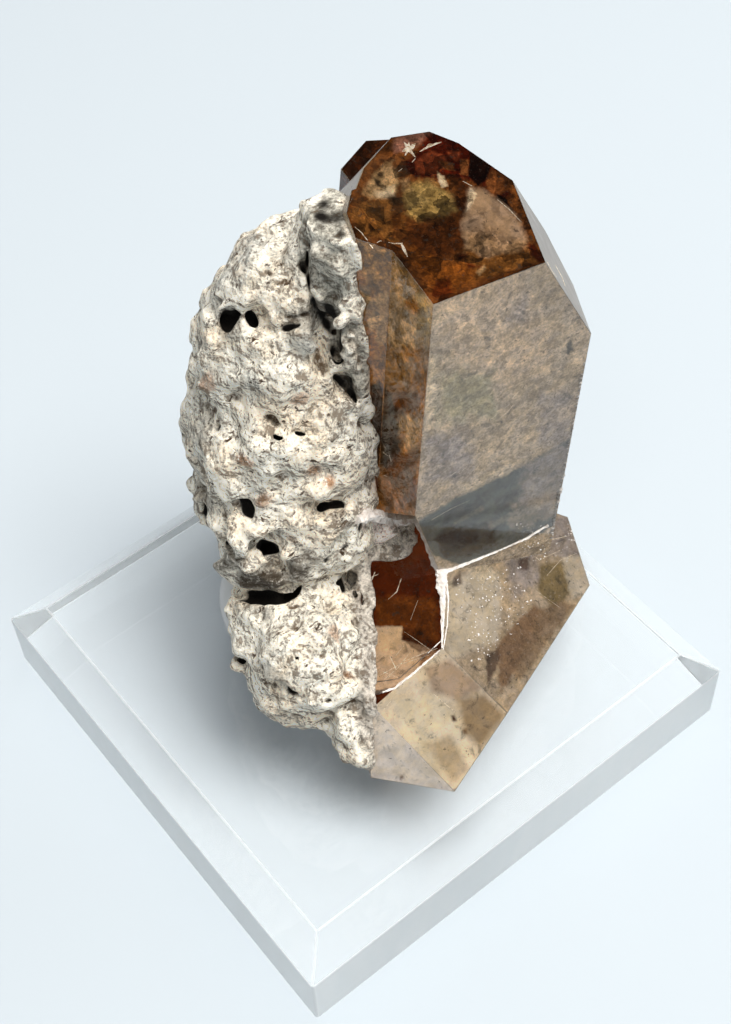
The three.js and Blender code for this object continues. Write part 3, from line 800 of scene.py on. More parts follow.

# What is drawn on the veils, the crystals' own markings and painted reflections: a tone, how soft its rim
# is and how ragged, both in mm, its strength, and its outline in mm as seen from the front, right and up.
VEIL_AND_REFLECTION_MARKS = {
    "end window": [
        ("plum", 0.25, 0.2, 1, [(5.2, 47.2), (7.3, 48.3), (8.3, 48.3), (8.5, 47.6), (6.9, 46.5),
            (5.1, 46)]),
        ("dark red", 0.3, 0.3, 1, [(8.3, 48), (9.6, 47.6), (11.8, 46.1), (13.5, 44), (14.3, 41.8),
            (13.3, 41.9), (12.4, 42.6), (11.1, 43.4), (9.7, 43.8), (8.4, 43.6), (6.7, 43.7), (5.8, 44.8),
            (6.1, 45.5), (7.2, 46.2)]),
        ("rust", 0.15, 0.15, 1, [(6.8, 45.3), (8.3, 46.2), (9.4, 45.6), (9.2, 44.5), (8.4, 44),
            (7, 44.3)]),
        ("rust", 0.12, 0.1, 1, [(9.5, 46.1), (10.5, 46), (10.3, 45.1), (9.6, 45.4)]),
        ("amber brown", 0.08, 0.08, 1, [(10.5, 45.3), (11.2, 45.2), (11, 43.8), (10.4, 44)]),
        ("amber brown", 0.08, 0.08, 1, [(8.6, 45.3), (9.9, 45), (10, 44.3), (9.1, 44.5)]),
        ("black", 0.08, 0.08, 1, [(11.3, 45.9), (12.2, 45.2), (12.9, 44.5), (12.3, 43.2), (11.7, 42.9),
            (11, 43.8), (11.2, 45.2)]),
        ("black", 0.1, 0.15, 0.8, [(9, 44.1), (10.2, 44.1), (10.5, 43.5), (9.9, 43.1), (9.2, 43.6)]),
        ("amber brown", 0.12, 0.12, 1, [(12.3, 43.1), (12.9, 44.3), (14.1, 43.5), (14.2, 42.5), (13.3, 42),
            (12.6, 42.3)]),
        ("black", 0.06, 0.08, 1, [(13.1, 42.2), (13.8, 41.7), (14.4, 40.4), (14, 40.3), (13.4, 41.2)]),
        ("tan", 0.35, 0.35, 1, [(2.6, 42.5), (3.7, 44.5), (5, 45.4), (5.6, 43.9), (5.2, 42.2), (3.1, 42)]),
        ("cream", 0.25, 0.3, 0.7, [(3, 42.3), (3.7, 42.8), (5.1, 43.2), (5.1, 42.2)]),
        ("brown", 0.3, 0.3, 1, [(1.2, 41), (2.8, 42), (5.6, 42), (5.7, 39.9), (5.4, 38.1), (3.7, 38.6),
            (2.2, 39.2)]),
        ("dark brown", 0.25, 0.3, 0.8, [(4.7, 42.2), (5.6, 42.6), (5.5, 38.4), (4.6, 38.6)]),
        ("olive", 0.45, 0.4, 1, [(6.1, 43.4), (7.9, 43.7), (9.6, 42.4), (10, 40.8), (8.4, 39.9),
            (6.9, 39.8), (5.9, 40.6), (5.7, 42.2)]),
        ("tan", 0.3, 0.3, 0.7, [(5.4, 43.8), (6.4, 43.9), (6.4, 42.8), (5.6, 42.6)]),
        ("dark brown", 0.5, 0.4, 0.9, [(5.9, 39.8), (8.5, 40.5), (10.2, 39.9), (10.3, 37.7), (8.2, 36.8),
            (6.7, 37.3), (5.7, 38.2)]),
        ("dark brown", 0.2, 0.2, 0.9, [(9.9, 43.5), (11.1, 43.2), (10.7, 41.6), (10.3, 40.4),
            (9.8, 41.2)]),
        ("mauve", 0.35, 0.15, 1, [(11.1, 42.8), (12.1, 42.5), (13.1, 41.6), (14, 40.7), (14.8, 39.5),
            (15.1, 38), (14.1, 36.7), (11.6, 36.6), (10.3, 37.5), (10.1, 39.8), (10.5, 40.7)]),
        ("taupe", 0.5, 0.35, 0.85, [(10.4, 38.9), (12, 39.3), (13, 38.5), (15.3, 38), (14.4, 36.5),
            (11.7, 36.3), (10.2, 37.1)]),
        ("shell", 0.1, 0.1, 0.8, [(11.1, 42.7), (11.5, 42.2), (10.9, 40.9), (10.5, 40.6)]),
        ("brown", 0.3, 0.3, 1, [(10.2, 37.4), (12, 36.7), (15.7, 37.4), (16.2, 36.4), (12.5, 35.3),
            (9.9, 34.7)]),
        ("dark red", 0.15, 0.2, 0.9, [(15, 38), (15.6, 37.6), (16.3, 36.4), (15.9, 36.1), (15.3, 36.7)]),
        ("fire", 0.5, 0.45, 1, [(6.1, 37.7), (8.2, 36.4), (10.8, 36.3), (10.8, 35), (9.1, 33.9),
            (8.1, 33.4), (6.8, 35)]),
        ("dark red", 0.3, 0.35, 0.8, [(7.7, 35), (8.7, 34.9), (9.2, 34.1), (8.4, 33.3), (7.3, 33.5)]),
        ("dark red", 0.15, 0.2, 0.8, [(10.2, 36.4), (11.2, 36.1), (11.5, 35.8), (10.3, 35.8)]),
        ("dark red", 0.15, 0.2, 0.8, [(9.6, 37), (10.4, 37.1), (10.3, 36.7), (9.7, 36.7)]),
        ("tan", 0.1, 0.1, 0.8, [(10.9, 35.5), (11.6, 36.1), (11.7, 35.8), (11.1, 35.2)]),
        ("cream", 0.1, 0.15, 0.9, [(8.6, 44.3), (9.1, 43.9), (9.4, 42.9), (8.8, 42.8), (8.6, 43.4)]),
        ("black", 0.12, 0.15, 0.9, [(2.9, 39.9), (3.3, 39.9), (3.4, 39.3), (3, 39.3)]),
        ("black", 0.1, 0.1, 0.9, [(3.9, 44.5), (4.3, 44.5), (4.3, 44), (3.8, 44)]),
        ("black", 0.1, 0.1, 0.9, [(3.6, 43.8), (4.1, 43.6), (3.9, 43.2), (3.6, 43.3)]),
    ],
    "broad front": [
        ("beige", 1.2, 0.5, 1, [(7.6, 33.6), (14.2, 35.6), (17.1, 31.5), (16.9, 28.6), (13, 27.5),
            (8.3, 29.9)]),
        ("shell", 0.3, 0.3, 0.55, [(6.9, 29.2), (7.8, 29.6), (7.6, 25.2), (6.7, 24.1)]),
        ("olive grey", 0.8, 0.5, 0.8, [(7.9, 28.3), (12.3, 28.4), (12.8, 25.2), (7.8, 24.5)]),
        ("lavender", 0.8, 0.4, 0.9, [(6.4, 23.6), (10.5, 24), (11.1, 20), (6.2, 19.6)]),
        ("lavender", 0.8, 0.5, 0.8, [(16.7, 26.7), (20.2, 26.9), (19.7, 22.6), (17, 23)]),
        ("lavender", 0.5, 0.5, 0.6, [(12.7, 33.4), (15.2, 34.2), (15.3, 32.4), (13.2, 31.9)]),
        ("shell", 0.5, 0.3, 0.35, [(9.9, 19.3), (14.5, 21.1), (14.9, 20.2), (10.5, 18.4)]),
        ("slate", 0.13, 0.12, 1, [(5.3, 16.1), (8.7, 18.1), (11.9, 19.3), (15.6, 20.9), (18.1, 22.3),
            (20.8, 23.6), (21.8, 20.4), (19.7, 15.5), (10.3, 12), (7.1, 13.5)]),
        ("lavender", 0.6, 0.5, 0.75, [(16, 20.9), (18.1, 22.2), (20.8, 23.3), (21.7, 17.7), (18.4, 16.7),
            (14.7, 17.5)]),
        ("stone", 0.4, 0.5, 0.35, [(15.1, 18), (18.9, 19), (19.6, 16.6), (16.5, 15.1), (14.5, 15.3)]),
        ("soot", 0.3, 0.4, 1, [(7.4, 15.1), (8.9, 16), (12.9, 15.9), (13.6, 14.5), (10.9, 13),
            (8.4, 13.2)]),
        ("black", 0.2, 0.4, 0.8, [(8, 14.8), (9.5, 15.4), (11.4, 15.2), (10.8, 14), (8.7, 13.7)]),
        ("soot", 0.3, 0.35, 0.6, [(8, 17.2), (12.2, 18.6), (12.1, 17.4), (8.5, 16.3)]),
        ("soot", 0.25, 0.3, 0.5, [(13, 18.1), (16.1, 19.3), (16, 18.3), (13.4, 16.9)]),
        ("stone", 0.1, 0.3, 0.55, [(5.7, 18.4), (7.4, 18.4), (7.8, 17.6), (6.2, 17)]),
        ("stone", 0.06, 0.2, 0.2, [(9.1, 16.3), (12, 17.6), (12.2, 17.2), (9.3, 15.9)]),
        ("stone", 0.06, 0.2, 0.2, [(12.5, 15.9), (15.5, 17.2), (15.7, 16.8), (12.7, 15.3)]),
        ("olive grey", 0.12, 0.12, 1, [(12, 26.6), (12.5, 26.8), (12.7, 26.4), (12.5, 26), (12, 26.1)]),
        ("soot", 0.12, 0.15, 0.9, [(18.7, 30.6), (19.1, 31), (19.2, 30.1), (18.9, 29.8)]),
        ("soot", 0.2, 0.3, 0.45, [(8.2, 32.6), (8.9, 32.5), (8.9, 32.1), (8.4, 32)]),
        ("soot", 0.2, 0.3, 0.4, [(15.3, 32.6), (15.9, 33), (16.2, 32.4), (15.6, 32.2)]),
    ],
    "left front": [
        ("tawny", 0.6, 0.4, 1, [(1.4, 40.1), (6.5, 36.2), (7.3, 33.3), (2.3, 34.8)]),
        ("tan", 0.5, 0.5, 0.7, [(2.1, 35.4), (4.9, 34.4), (7.1, 31.6), (7.1, 30.3), (4.5, 30.7),
            (2.1, 32.5)]),
        ("olive", 0.3, 0.4, 0.7, [(6.1, 34.5), (7.4, 33.2), (7.3, 30.7), (6.4, 31.5)]),
        ("tawny", 0.6, 0.5, 0.5, [(2.9, 31.4), (5.7, 30.6), (5.6, 27.3), (2.9, 28.3)]),
        ("black", 0.3, 0.35, 0.9, [(2.5, 28.5), (3.5, 28.2), (4.3, 27.2), (4.8, 24.3), (4.5, 21.9),
            (3.6, 21.1), (2.5, 22), (2.3, 24.7)]),
        ("dark brown", 0.25, 0.3, 0.85, [(4.2, 27.4), (6.3, 27), (6.1, 25.5), (4.3, 25.5)]),
        ("tan", 0.4, 0.4, 0.6, [(4.7, 25.5), (6.5, 25.2), (6.3, 22.8), (5.1, 22.7)]),
        ("dark brown", 0.4, 0.4, 0.8, [(3.8, 22.4), (6.2, 22.5), (6, 19.6), (4.1, 19.7), (2.9, 20.7)]),
        ("rose", 0.4, 0.3, 0.7, [(2.9, 20.6), (4.4, 20.2), (6, 19.6), (5.8, 16.9), (4.7, 17.4),
            (3.1, 18.6)]),
        ("dark red", 0.2, 0.3, 0.9, [(1.7, 21.2), (2.7, 21), (2.7, 19.5), (1.8, 19.4)]),
        ("dark red", 0.15, 0.2, 0.6, [(5.4, 20.4), (6, 20.5), (5.9, 18.4), (5.4, 18.4)]),
    ],
    "lower window": [
        ("deep amber", 0.5, 0.3, 1, [(1.4, 15.8), (3.9, 17.1), (5.1, 17.1), (6.2, 13.1), (5.7, 9.9),
            (1.3, 10.1)]),
        ("amber", 0.4, 0.35, 1, [(2, 9.7), (7.5, 9.4), (7.5, 5.2), (5, 5.6), (2, 7.1)]),
        ("pale", 0.15, 0.12, 1, [(1.8, 7.1), (4.2, 7), (4.1, 5.8), (7.2, 4.7), (7.4, 3.1), (3.7, 1.9),
            (1.3, 1.3)]),
        ("dark brown", 0.15, 0.2, 0.7, [(4.3, 6.9), (6.2, 6.4), (7.3, 4.7), (5.7, 4.6), (4.2, 5.8)]),
        ("cream", 0.12, 0.15, 0.6, [(2.1, 6.8), (4.2, 6.9), (4.1, 5.4), (2.2, 4.8)]),
        ("brown", 0.3, 0.3, 0.8, [(5.7, 4.4), (7.3, 4.9), (7.4, 2.8), (5.4, 2.6)]),
    ],
    "lower right": [
        ("pale", 0.5, 0.3, 1, [(8.2, 10.5), (9.7, 11.3), (13.8, 11.2), (13.2, 5), (8, 3.8)]),
        ("grey mauve", 0.5, 0.4, 0.9, [(14, 13.5), (17.6, 14), (17.9, 10.2), (14.9, 8.6)]),
        ("olive", 0.3, 0.2, 0.9, [(17.8, 11.7), (20.3, 11.8), (21, 9.1), (19, 7.3), (17.4, 9.3)]),
        ("pale", 0.3, 0.3, 0.8, [(20.1, 12.4), (23, 12.2), (22.9, 9.3), (20.7, 8.1)]),
        ("grey mauve", 0.3, 0.3, 0.9, [(17.4, 16), (21.9, 16.2), (23.1, 12.5), (19.9, 12.2),
            (16.9, 13.3)]),
        ("brown", 0.35, 0.35, 0.75, [(12.8, 4.7), (16.9, 8.1), (18.5, 6.7), (15.2, 2.6), (12.9, 0.4)]),
        ("dark brown", 0.2, 0.25, 0.8, [(11.8, 3.8), (13.2, 4.7), (13.1, 3.3), (11.8, 1.3)]),
        ("dark brown", 0.25, 0.3, 0.8, [(15.6, 12.3), (16.7, 12.6), (16.8, 11.3), (15.7, 11.1)]),
        ("dark brown", 0.25, 0.3, 0.7, [(9.1, 11.1), (9.9, 11.6), (10, 10.5), (9.2, 10.3)]),
        ("taupe", 0.3, 0.3, 0.8, [(17.4, 7.5), (19.5, 8.2), (21, 7.6), (14.9, 1.3), (14.1, 1.5)]),
        ("shell", 0.3, 0.3, 0.6, [(11, 12.8), (12.5, 12.5), (13.5, 10.8), (12.1, 9.8), (10.6, 11.3)]),
    ],
    "lower front": [
        ("cream", 0.3, 0.3, 0.85, [(3.2, 0.4), (6.7, 0.8), (8.6, -1.1), (10, -5.6), (7.4, -6.6),
            (3.6, -2.7)]),
        ("tan", 0.4, 0.3, 0.9, [(8.9, 0.2), (11.5, 0.4), (13.2, -1.6), (10.7, -4.5), (9.3, -2.8)]),
        ("mauve", 0.3, 0.3, 0.9, [(6, 3.2), (8.4, 3.8), (11.4, 1), (8.9, 0.1), (6.6, 1)]),
        ("dark brown", 0.1, 0.12, 1, [(8.2, -1.3), (8.5, -1.2), (8.7, -1.8), (8.3, -1.8)]),
        ("brown", 0.1, 0.12, 0.8, [(9.2, -2.7), (9.5, -2.6), (9.6, -3), (9.3, -3.1)]),
        ("tan", 0.3, 0.4, 0.6, [(5.7, -3.6), (8, -3), (9.6, -6.2), (7.9, -7.2)]),
    ],
    "tip": [
        ("rose", 0.1, 0.12, 0.9, [(3.3, -6.5), (3.6, -6.4), (3.6, -6.8), (3.3, -7)]),
    ],
}

# Cracks, needles and painted glints under the faces, glowing by their own emission: points with half widths,
# in mm.
GLINTS = {
    "end window": [
        [((5.9, 11.9, 59.7), 0.05), ((6.25, 12.15, 59.7), 0.42), ((6.6, 12.3, 59.7), 0.42),
         ((7.0, 12.7, 59.8), 0.05)],
        [((6.1, 12.9, 59.8), 0.05), ((6.4, 12.2, 59.7), 0.34), ((6.9, 11.3, 59.6), 0.05)],
        [((6.5, 12.9, 59.8), 0.04), ((6.4, 12.2, 59.7), 0.3), ((6.1, 11.5, 59.6), 0.04)],
        [((7.3, 11.9, 59.6), 0.06), ((8.2, 12.5, 59.7), 0.3), ((9.1, 12.9, 59.6), 0.05)],
        [((6.6, 10.8, 59.5), 0.06), ((6.9, 11.2, 59.5), 0.04)],
        [((5.5, 9.9, 59.4), 0.05), ((5.8, 10.2, 59.4), 0.03)],
        [((13.1, 7.2, 58.3), 0.03), ((13.9, 6.3, 58.1), 0.06), ((14.8, 5.0, 57.8), 0.03)],
        [((10.5, 9.0, 58.8), 0.03), ((11.2, 8.5, 58.7), 0.07)],
        [((1.7, 4.6, 58.7), 0.03), ((2.3, 3.9, 58.6), 0.06), ((3.1, 2.5, 58.3), 0.05)],
        [((3.1, 2.8, 58.3), 0.05), ((3.7, 3.2, 58.3), 0.07), ((4.3, 3.0, 58.3), 0.04),
         ((4.8, 2.9, 58.2), 0.08), ((5.4, 2.9, 58.2), 0.12)],
        [((5.3, 2.9, 58.1), 0.12), ((5.5, 2.3, 58.0), 0.2), ((5.7, 1.7, 57.9), 0.06)],
    ],
    "broad front": [
        [((12.3, -0.6, 40.9), 0.03), ((12.9, -0.3, 41.3), 0.05), ((13.3, -0.1, 41.6), 0.02)],
        [((13.2, -0.2, 40.7), 0.03), ((13.8, 0.1, 41.0), 0.05), ((14.3, 0.3, 41.7), 0.03)],
        [((14.2, 0.2, 42.6), 0.03), ((14.7, 0.5, 43.1), 0.04)],
        [((13.6, 0.0, 41.7), 0.03), ((14.0, 0.2, 42.0), 0.03)],
        [((16.5, 1.3, 56.9), 0.03), ((17.0, 1.5, 55.6), 0.05), ((17.4, 1.7, 54.8), 0.03)],
        [((17.2, 1.6, 56.2), 0.03), ((17.8, 1.8, 54.8), 0.05), ((18.2, 2.0, 53.5), 0.03)],
        [((8.6, -2.2, 35.5), 0.03), ((9.4, -1.8, 35.8), 0.04)],
        [((9.7, -1.7, 35.4), 0.03), ((10.4, -1.4, 36.0), 0.04)],
        [((7.2, -2.8, 30.5), 0.04), ((9.1, -2.0, 31.0), 0.03), ((10.7, -1.3, 31.1), 0.02)],
        [((6.9, -2.9, 31.9), 0.04), ((8.0, -2.5, 32.0), 0.03)],
    ],
    "left front": [
        [((3.0, 2.8, 44.3), 0.03), ((3.6, 2.0, 44.7), 0.05)],
        [((3.2, 1.2, 35.4), 0.08), ((3.6, 0.6, 35.6), 0.05)],
        [((3.7, 0.4, 35.9), 0.08), ((3.9, 0.1, 35.4), 0.09)],
        [((3.3, 1.2, 36.3), 0.06), ((3.5, 0.9, 36.2), 0.05)],
        [((3.2, 0.9, 32.6), 0.05), ((3.5, 0.4, 33.0), 0.04)],
    ],
    "lower window": [
        [((3.1, -4.8, 21.6), 0.04), ((3.9, -4.1, 21.7), 0.08), ((4.4, -2.9, 22.1), 0.03)],
        [((1.8, -11.6, 19.3), 0.03), ((3.8, -10.6, 19.5), 0.04), ((6.6, -9.8, 19.6), 0.02)],
        [((2.3, -11.9, 19.2), 0.02), ((3.6, -10.9, 19.4), 0.04), ((4.8, -9.5, 19.8), 0.02)],
        [((2.9, -9.8, 19.9), 0.02), ((3.4, -10.9, 19.4), 0.05), ((2.4, -12.1, 19.1), 0.02)],
        [((4.0, -10.4, 19.6), 0.02), ((5.7, -9.8, 19.7), 0.04), ((7.3, -9.2, 19.7), 0.03)],
        [((4.4, -7.7, 20.4), 0.02), ((5.6, -8.6, 20.1), 0.03), ((6.8, -9.5, 19.7), 0.02)],
        [((5.0, -6.7, 20.8), 0.02), ((5.8, -4.9, 21.3), 0.02)],
        [((3.5, -9.8, 19.8), 0.03), ((4.3, -8.9, 20.1), 0.02)],
        [((2.2, -11.2, 19.4), 0.03), ((3.7, -11.8, 19.1), 0.02)],
        [((1.7, -3.0, 22.3), 0.07), ((2.0, -2.3, 22.5), 0.05)],
        [((1.5, -2.8, 22.3), 0.06), ((2.3, -2.5, 22.4), 0.04)],
    ],
    "lower right": [
        [((11.9, -0.2, 20.7), 0.02), ((13.7, -2.1, 19.1), 0.03)],
        [((17.1, -1.7, 17.4), 0.03), ((19.4, -2.7, 15.7), 0.02)],
        [((15.1, 1.7, 19.6), 0.03), ((18.4, 1.8, 17.9), 0.03)],
        [((18.2, 5.2, 19.2), 0.02), ((19.2, 3.6, 18.1), 0.05), ((21.1, 4.5, 17.4), 0.03)],
        [((16.0, 2.2, 19.4), 0.03), ((17.8, 1.3, 18.0), 0.05), ((20.0, 2.8, 17.4), 0.03)],
        [((18.4, 0.0, 17.2), 0.03), ((19.9, 1.8, 17.1), 0.04), ((22.0, 3.2, 16.4), 0.02)],
    ],
    "lower front": [
        [((6.7, -12.8, 17.7), 0.03), ((8.6, -14.0, 16.3), 0.05)],
        [((1.7, -14.8, 17.9), 0.02), ((2.9, -13.6, 18.4), 0.03)],
    ],
}

GLINT_DEPTH = 0.22 * MM

# Lines of pale crust along the seams: points with their half widths, in mm.
CRUSTS = [
    [((0.4, -2.6, 31.0), 0.8), ((1.4, -1.6, 30.4), 0.9), ((2.7, 1.2, 26.2), 1.0), ((4.2, 1.2, 25.6), 0.8),
     ((5.8, 2.0, 24.6), 0.5)],
    [((5.9, 2.2, 24.4), 0.26), ((6.6, 0.9, 23.7), 0.2), ((7.3, -1.2, 23.0), 0.26),
     ((8.0, -2.5, 22.2), 0.5), ((8.1, -3.0, 21.9), 0.2)],
    [((7.6, -2.8, 22.1), 0.2), ((8.2, -2.4, 22.1), 0.5), ((9.2, -1.9, 21.9), 0.34),
     ((10.9, -1.2, 21.8), 0.2), ((13.8, 0.2, 21.6), 0.18), ((16.3, 1.3, 21.7), 0.24),
     ((18.4, 2.3, 22.4), 0.34)],
    [((8.1, -2.1, 22.3), 0.25), ((8.0, -2.9, 21.9), 0.55), ((8.05, -4.4, 21.3), 0.32),
     ((7.95, -6.6, 20.6), 0.18), ((7.7, -9.2, 19.7), 0.07)],
    [((8.5, -2.6, 21.7), 0.16), ((8.6, -4.8, 20.9), 0.08), ((8.35, -7.0, 20.2), 0.06),
     ((7.8, -9.3, 19.6), 0.05)],
    [((1.2, -13.0, 18.6), 0.22), ((3.2, -12.7, 18.9), 0.14), ((5.1, -11.3, 19.2), 0.12),
     ((7.5, -9.4, 19.7), 0.07)],
    [((1.6, -12.0, 19.0), 0.07), ((3.6, -11.8, 19.0), 0.05), ((5.4, -10.4, 19.4), 0.06),
     ((7.6, -8.6, 19.9), 0.05)],
]

# Lumps along the right edge of the broad front: a stretch of the edge, seen from the front, how
# many lumps, and how large they are in mm.
EDGE_LUMPS = [((20.6, 29.4), (20.1, 24.6), 16, 0.30), ((20.1, 24.6), (19.6, 19.6), 16, 0.38),
              ((19.6, 19.6), (19.0, 14.2), 20, 0.48)]

# Where sugary grains sit on the lower crystal: an outline seen from the front, and how many.
SUGAR = [
    ([(9.2, 11.0), (15.6, 11.6), (16.6, 8.4), (14.6, 5.0), (11.6, 3.4), (9.2, 6.4)], 260),
    ([(15.0, 15.2), (21.6, 16.0), (23.0, 12.0), (18.0, 11.8)], 110),
]


def linear(rgb):
    return tuple((value / 255) ** 2.2 for value in rgb)


def face_direction(name):
    return facing(*FACES[name][:2])


def looking_in(name):
    """The way that a look from the front goes on inside the crystal, bent at the face."""
    look = TO_WORLD @ Vector(-FRONT_OUT)
    out = face_direction(name)
    slant = -look.dot(out)
    inner = math.sqrt(1 - (1 - slant * slant) / TOPAZ_IOR ** 2)
    return look / TOPAZ_IOR + out * (slant / TOPAZ_IOR - inner)


def frost_of(normal):
    best = max(FACES, key=lambda name: face_direction(name).dot(normal))
    return FACES[best][3] if face_direction(best).dot(normal) > 0.995 else OTHER_FROST


def streaks(tree, size, detail, rough, draw=0.3):
    """Noise drawn out along lines that rise to the right on the broad front face."""
    level = node(tree, "ShaderNodeVectorRotate", {"Vector": place(tree), "Angle": math.radians(12.7)},
                 rotation_type="Z_AXIS").outputs[0]
    along = node(tree, "ShaderNodeVectorRotate", {"Vector": level, "Angle": math.radians(48)},
                 rotation_type="Y_AXIS").outputs[0]
    drawn = node(tree, "ShaderNodeMapping", {"Vector": along, "Scale": (draw, 1, 1)}).outputs["Vector"]
    return node(tree, "ShaderNodeTexNoise", {"Vector": drawn, "Scale": 1 / (size * MM), "Detail": detail,
                                             "Roughness": rough}).outputs["Fac"]


def topaz_material():
    material, tree = new_material("topaz")
    frost = attribute(tree, "frost")
    mottle = noise_field(tree, 2.4, 5, 0.6, stretch=(1, 1, 0.8))
    lines = streaks(tree, 1.1, 5, 0.65)
    fine = noise_field(tree, 0.4, 4, 0.7)
    patch = noise_field(tree, 6.0, 3, 0.55, (0.02, 0.05, 0.01))
    cover = times(tree, frost, between(tree, mottle, 0.30, 0.70, 0.75, 1.15), clamp=True)
    tint = mix(tree, between(tree, patch, 0.38, 0.62), (0.42, 0.31, 0.20), (0.64, 0.52, 0.39))
    tint = mix(tree, between(tree, lines, 0.50, 0.30, 0.0, 0.7), tint, (0.26, 0.20, 0.14))
    tint = mix(tree, between(tree, lines, 0.55, 0.72, 0.0, 0.6), tint, (0.86, 0.78, 0.66))
    tint = mix(tree, between(tree, fine, 0.40, 0.28, 0.0, 0.5), tint, (0.20, 0.16, 0.12))
    etched = mix(tree, between(tree, mottle, 0.35, 0.65), (0.20, 0.19, 0.185), (0.39, 0.39, 0.385))
    tint = mix(tree, between(tree, frost, 0.72, 0.82, 0.0, 0.75), tint, etched)
    edges = attribute(tree, "rim")
    rim = times(tree, edges, between(tree, fine, 0.35, 0.6, 0.25, 0.8))
    tint = mix(tree, rim, tint, (0.52, 0.47, 0.40))
    cover = maths(tree, "MAXIMUM", times(tree, cover, maths(tree, "SUBTRACT", 1.0, edges)), rim)
    finish_shader(
        tree, Base_Color=mix(tree, cover, (0.98, 0.95, 0.91), tint),
        Roughness=between(tree, cover, 0.0, 1.0, 0.012, 0.46), IOR=TOPAZ_IOR,
        Transmission_Weight=between(tree, cover, 0.1, 1.0, 1.0, 0.45),
        Normal=bump(tree, lines, 0.12 * MM, between(tree, cover, 0, 1, 0.03, 0.5)))
    absorb(tree, TOPAZ_COLOUR, TOPAZ_DENSITY)
    return material


def veil_and_reflection_material():
    """Painted reflections and mottled veils inside the crystals, in the tones drawn on the mesh, glowing by
    their own emission.
    """
    material, tree = new_material("veil_and_reflection_paint")
    tone = node(tree, "ShaderNodeAttribute", attribute_name="tone").outputs["Color"]
    mottle = noise_field(tree, 0.9, 5, 0.66, distort=0.3)
    grain = noise_field(tree, 0.24, 4, 0.7, (0.01, 0, 0.02))
    lines = streaks(tree, 1.0, 5, 0.66, 0.35)
    clouds = noise_field(tree, 3.0, 4, 0.6, (0.04, 0.01, 0), distort=0.4)
    sway = dimmed(tree, noise_vector(tree, 1.2), 0.9 * MM)
    flat = shifted(tree, (0.01, 0.03, 0), (1, 1, 0.8))
    warped = node(tree, "ShaderNodeVectorMath", {0: flat, 1: sway}).outputs[0]
    shard, chip = flat_cells(tree, warped, 1.5, "X"), flat_cells(tree, warped, 0.6, "Y")
    level = times(tree, swing(tree, mottle, 0.34, 0.66, 0.62, attribute(tree, "grain")),
                  swing(tree, lines, 0.36, 0.64, 0.44, attribute(tree, "streak")))
    level = times(tree, level, swing(tree, shard, 0.0, 1.0, 0.95, attribute(tree, "shards")))
    level = times(tree, level, swing(tree, chip, 0.0, 1.0, 0.6, attribute(tree, "shards")))
    level = times(tree, level, between(tree, clouds, 0.34, 0.66, 0.84, 1.14))
    level = times(tree, level, swing(tree, grain, 0.28, 0.72, 0.6, attribute(tree, "grain")))
    shade = dimmed(tree, tone, level)
    hues = noise_field(tree, 1.4, 3, 0.6, (0.06, 0.01, 0.04), distort=0.4)
    drifts = mix(tree, between(tree, hues, 0.36, 0.64), (0.97, 0.99, 1.05), (1.03, 1.005, 0.94))
    shade = node(tree, "ShaderNodeVectorMath", {0: shade, 1: drifts}, operation="MULTIPLY").outputs["Vector"]
    flecks = noise_field(tree, 0.26, 4, 0.66, (0.05, 0.05, 0.02), (1, 1, 1.3), 0.5)
    flecks = times(tree, attribute(tree, "grain"), between(tree, flecks, 0.58, 0.68, 0.0, 0.5))
    shade = dimmed(tree, shade, maths(tree, "ADD", 1.0, times(tree, flecks, 1.4)))
    smudge = noise_field(tree, 1.2, 5, 0.7, (0.03, 0.06, 0.01), distort=0.6)
    smudge = between(tree, smudge, 0.53, 0.70, 1.05, 0.50)
    shade = dimmed(tree, shade, smudge)
    specks = noise_field(tree, 0.5, 4, 0.65, (0.03, 0.02, 0.01), distort=0.6)
    specks = maths(tree, "ADD", specks, times(tree, attribute(tree, "grain"), 0.05))
    shade = mix(tree, between(tree, specks, 0.63, 0.70, 0.0, 0.7), shade, (0.035, 0.028, 0.022))
    sugar = noise_field(tree, 0.30, 3, 0.65, (0.02, 0.05, 0.03), distort=0.4)
    sugar = times(tree, attribute(tree, "sugar"), between(tree, sugar, 0.60, 0.68, 0.0, 1.0))
    shade = mix(tree, sugar, shade, (0.78, 0.70, 0.58))
    cover = times(tree, attribute(tree, "cover"), between(tree, grain, 0.25, 0.45, 0.92, 1.0))
    # Painted glow: the veils shine by their own emission.
    finish_shader(tree, Base_Color=shade, Roughness=0.6, Specular_IOR_Level=0.0, Alpha=cover,
                  Emission_Color=shade, Emission_Strength=PAINTED_VEIL_GLOW)
    return material


def flat_cells(tree, where, size, channel):
    """A level for each cell of a broken pattern, the cells about `size` mm across."""
    made = node(tree, "ShaderNodeTexVoronoi", {"Vector": where, "Scale": 1 / (size * MM)}).outputs["Color"]
    return node(tree, "ShaderNodeSeparateXYZ", {"Vector": made}).outputs[channel]


def noise_vector(tree, size):
    made = node(tree, "ShaderNodeTexNoise", {"Vector": place(tree), "Scale": 1 / (size * MM), "Detail": 3.0})
    return node(tree, "ShaderNodeVectorMath", {0: made.outputs["Color"], 1: (0.5, 0.5, 0.5)},
                operation="SUBTRACT").outputs[0]


def swing(tree, value, low, high, width, amount):
    """A factor about 1 that follows a value, `width` wide where the amount is 1."""
    spread = maths(tree, "SUBTRACT", between(tree, value, low, high), 0.5)
    spread = times(tree, spread, times(tree, amount, width * 2))
    return maths(tree, "MAXIMUM", maths(tree, "ADD", spread, 1.0), 0.08)


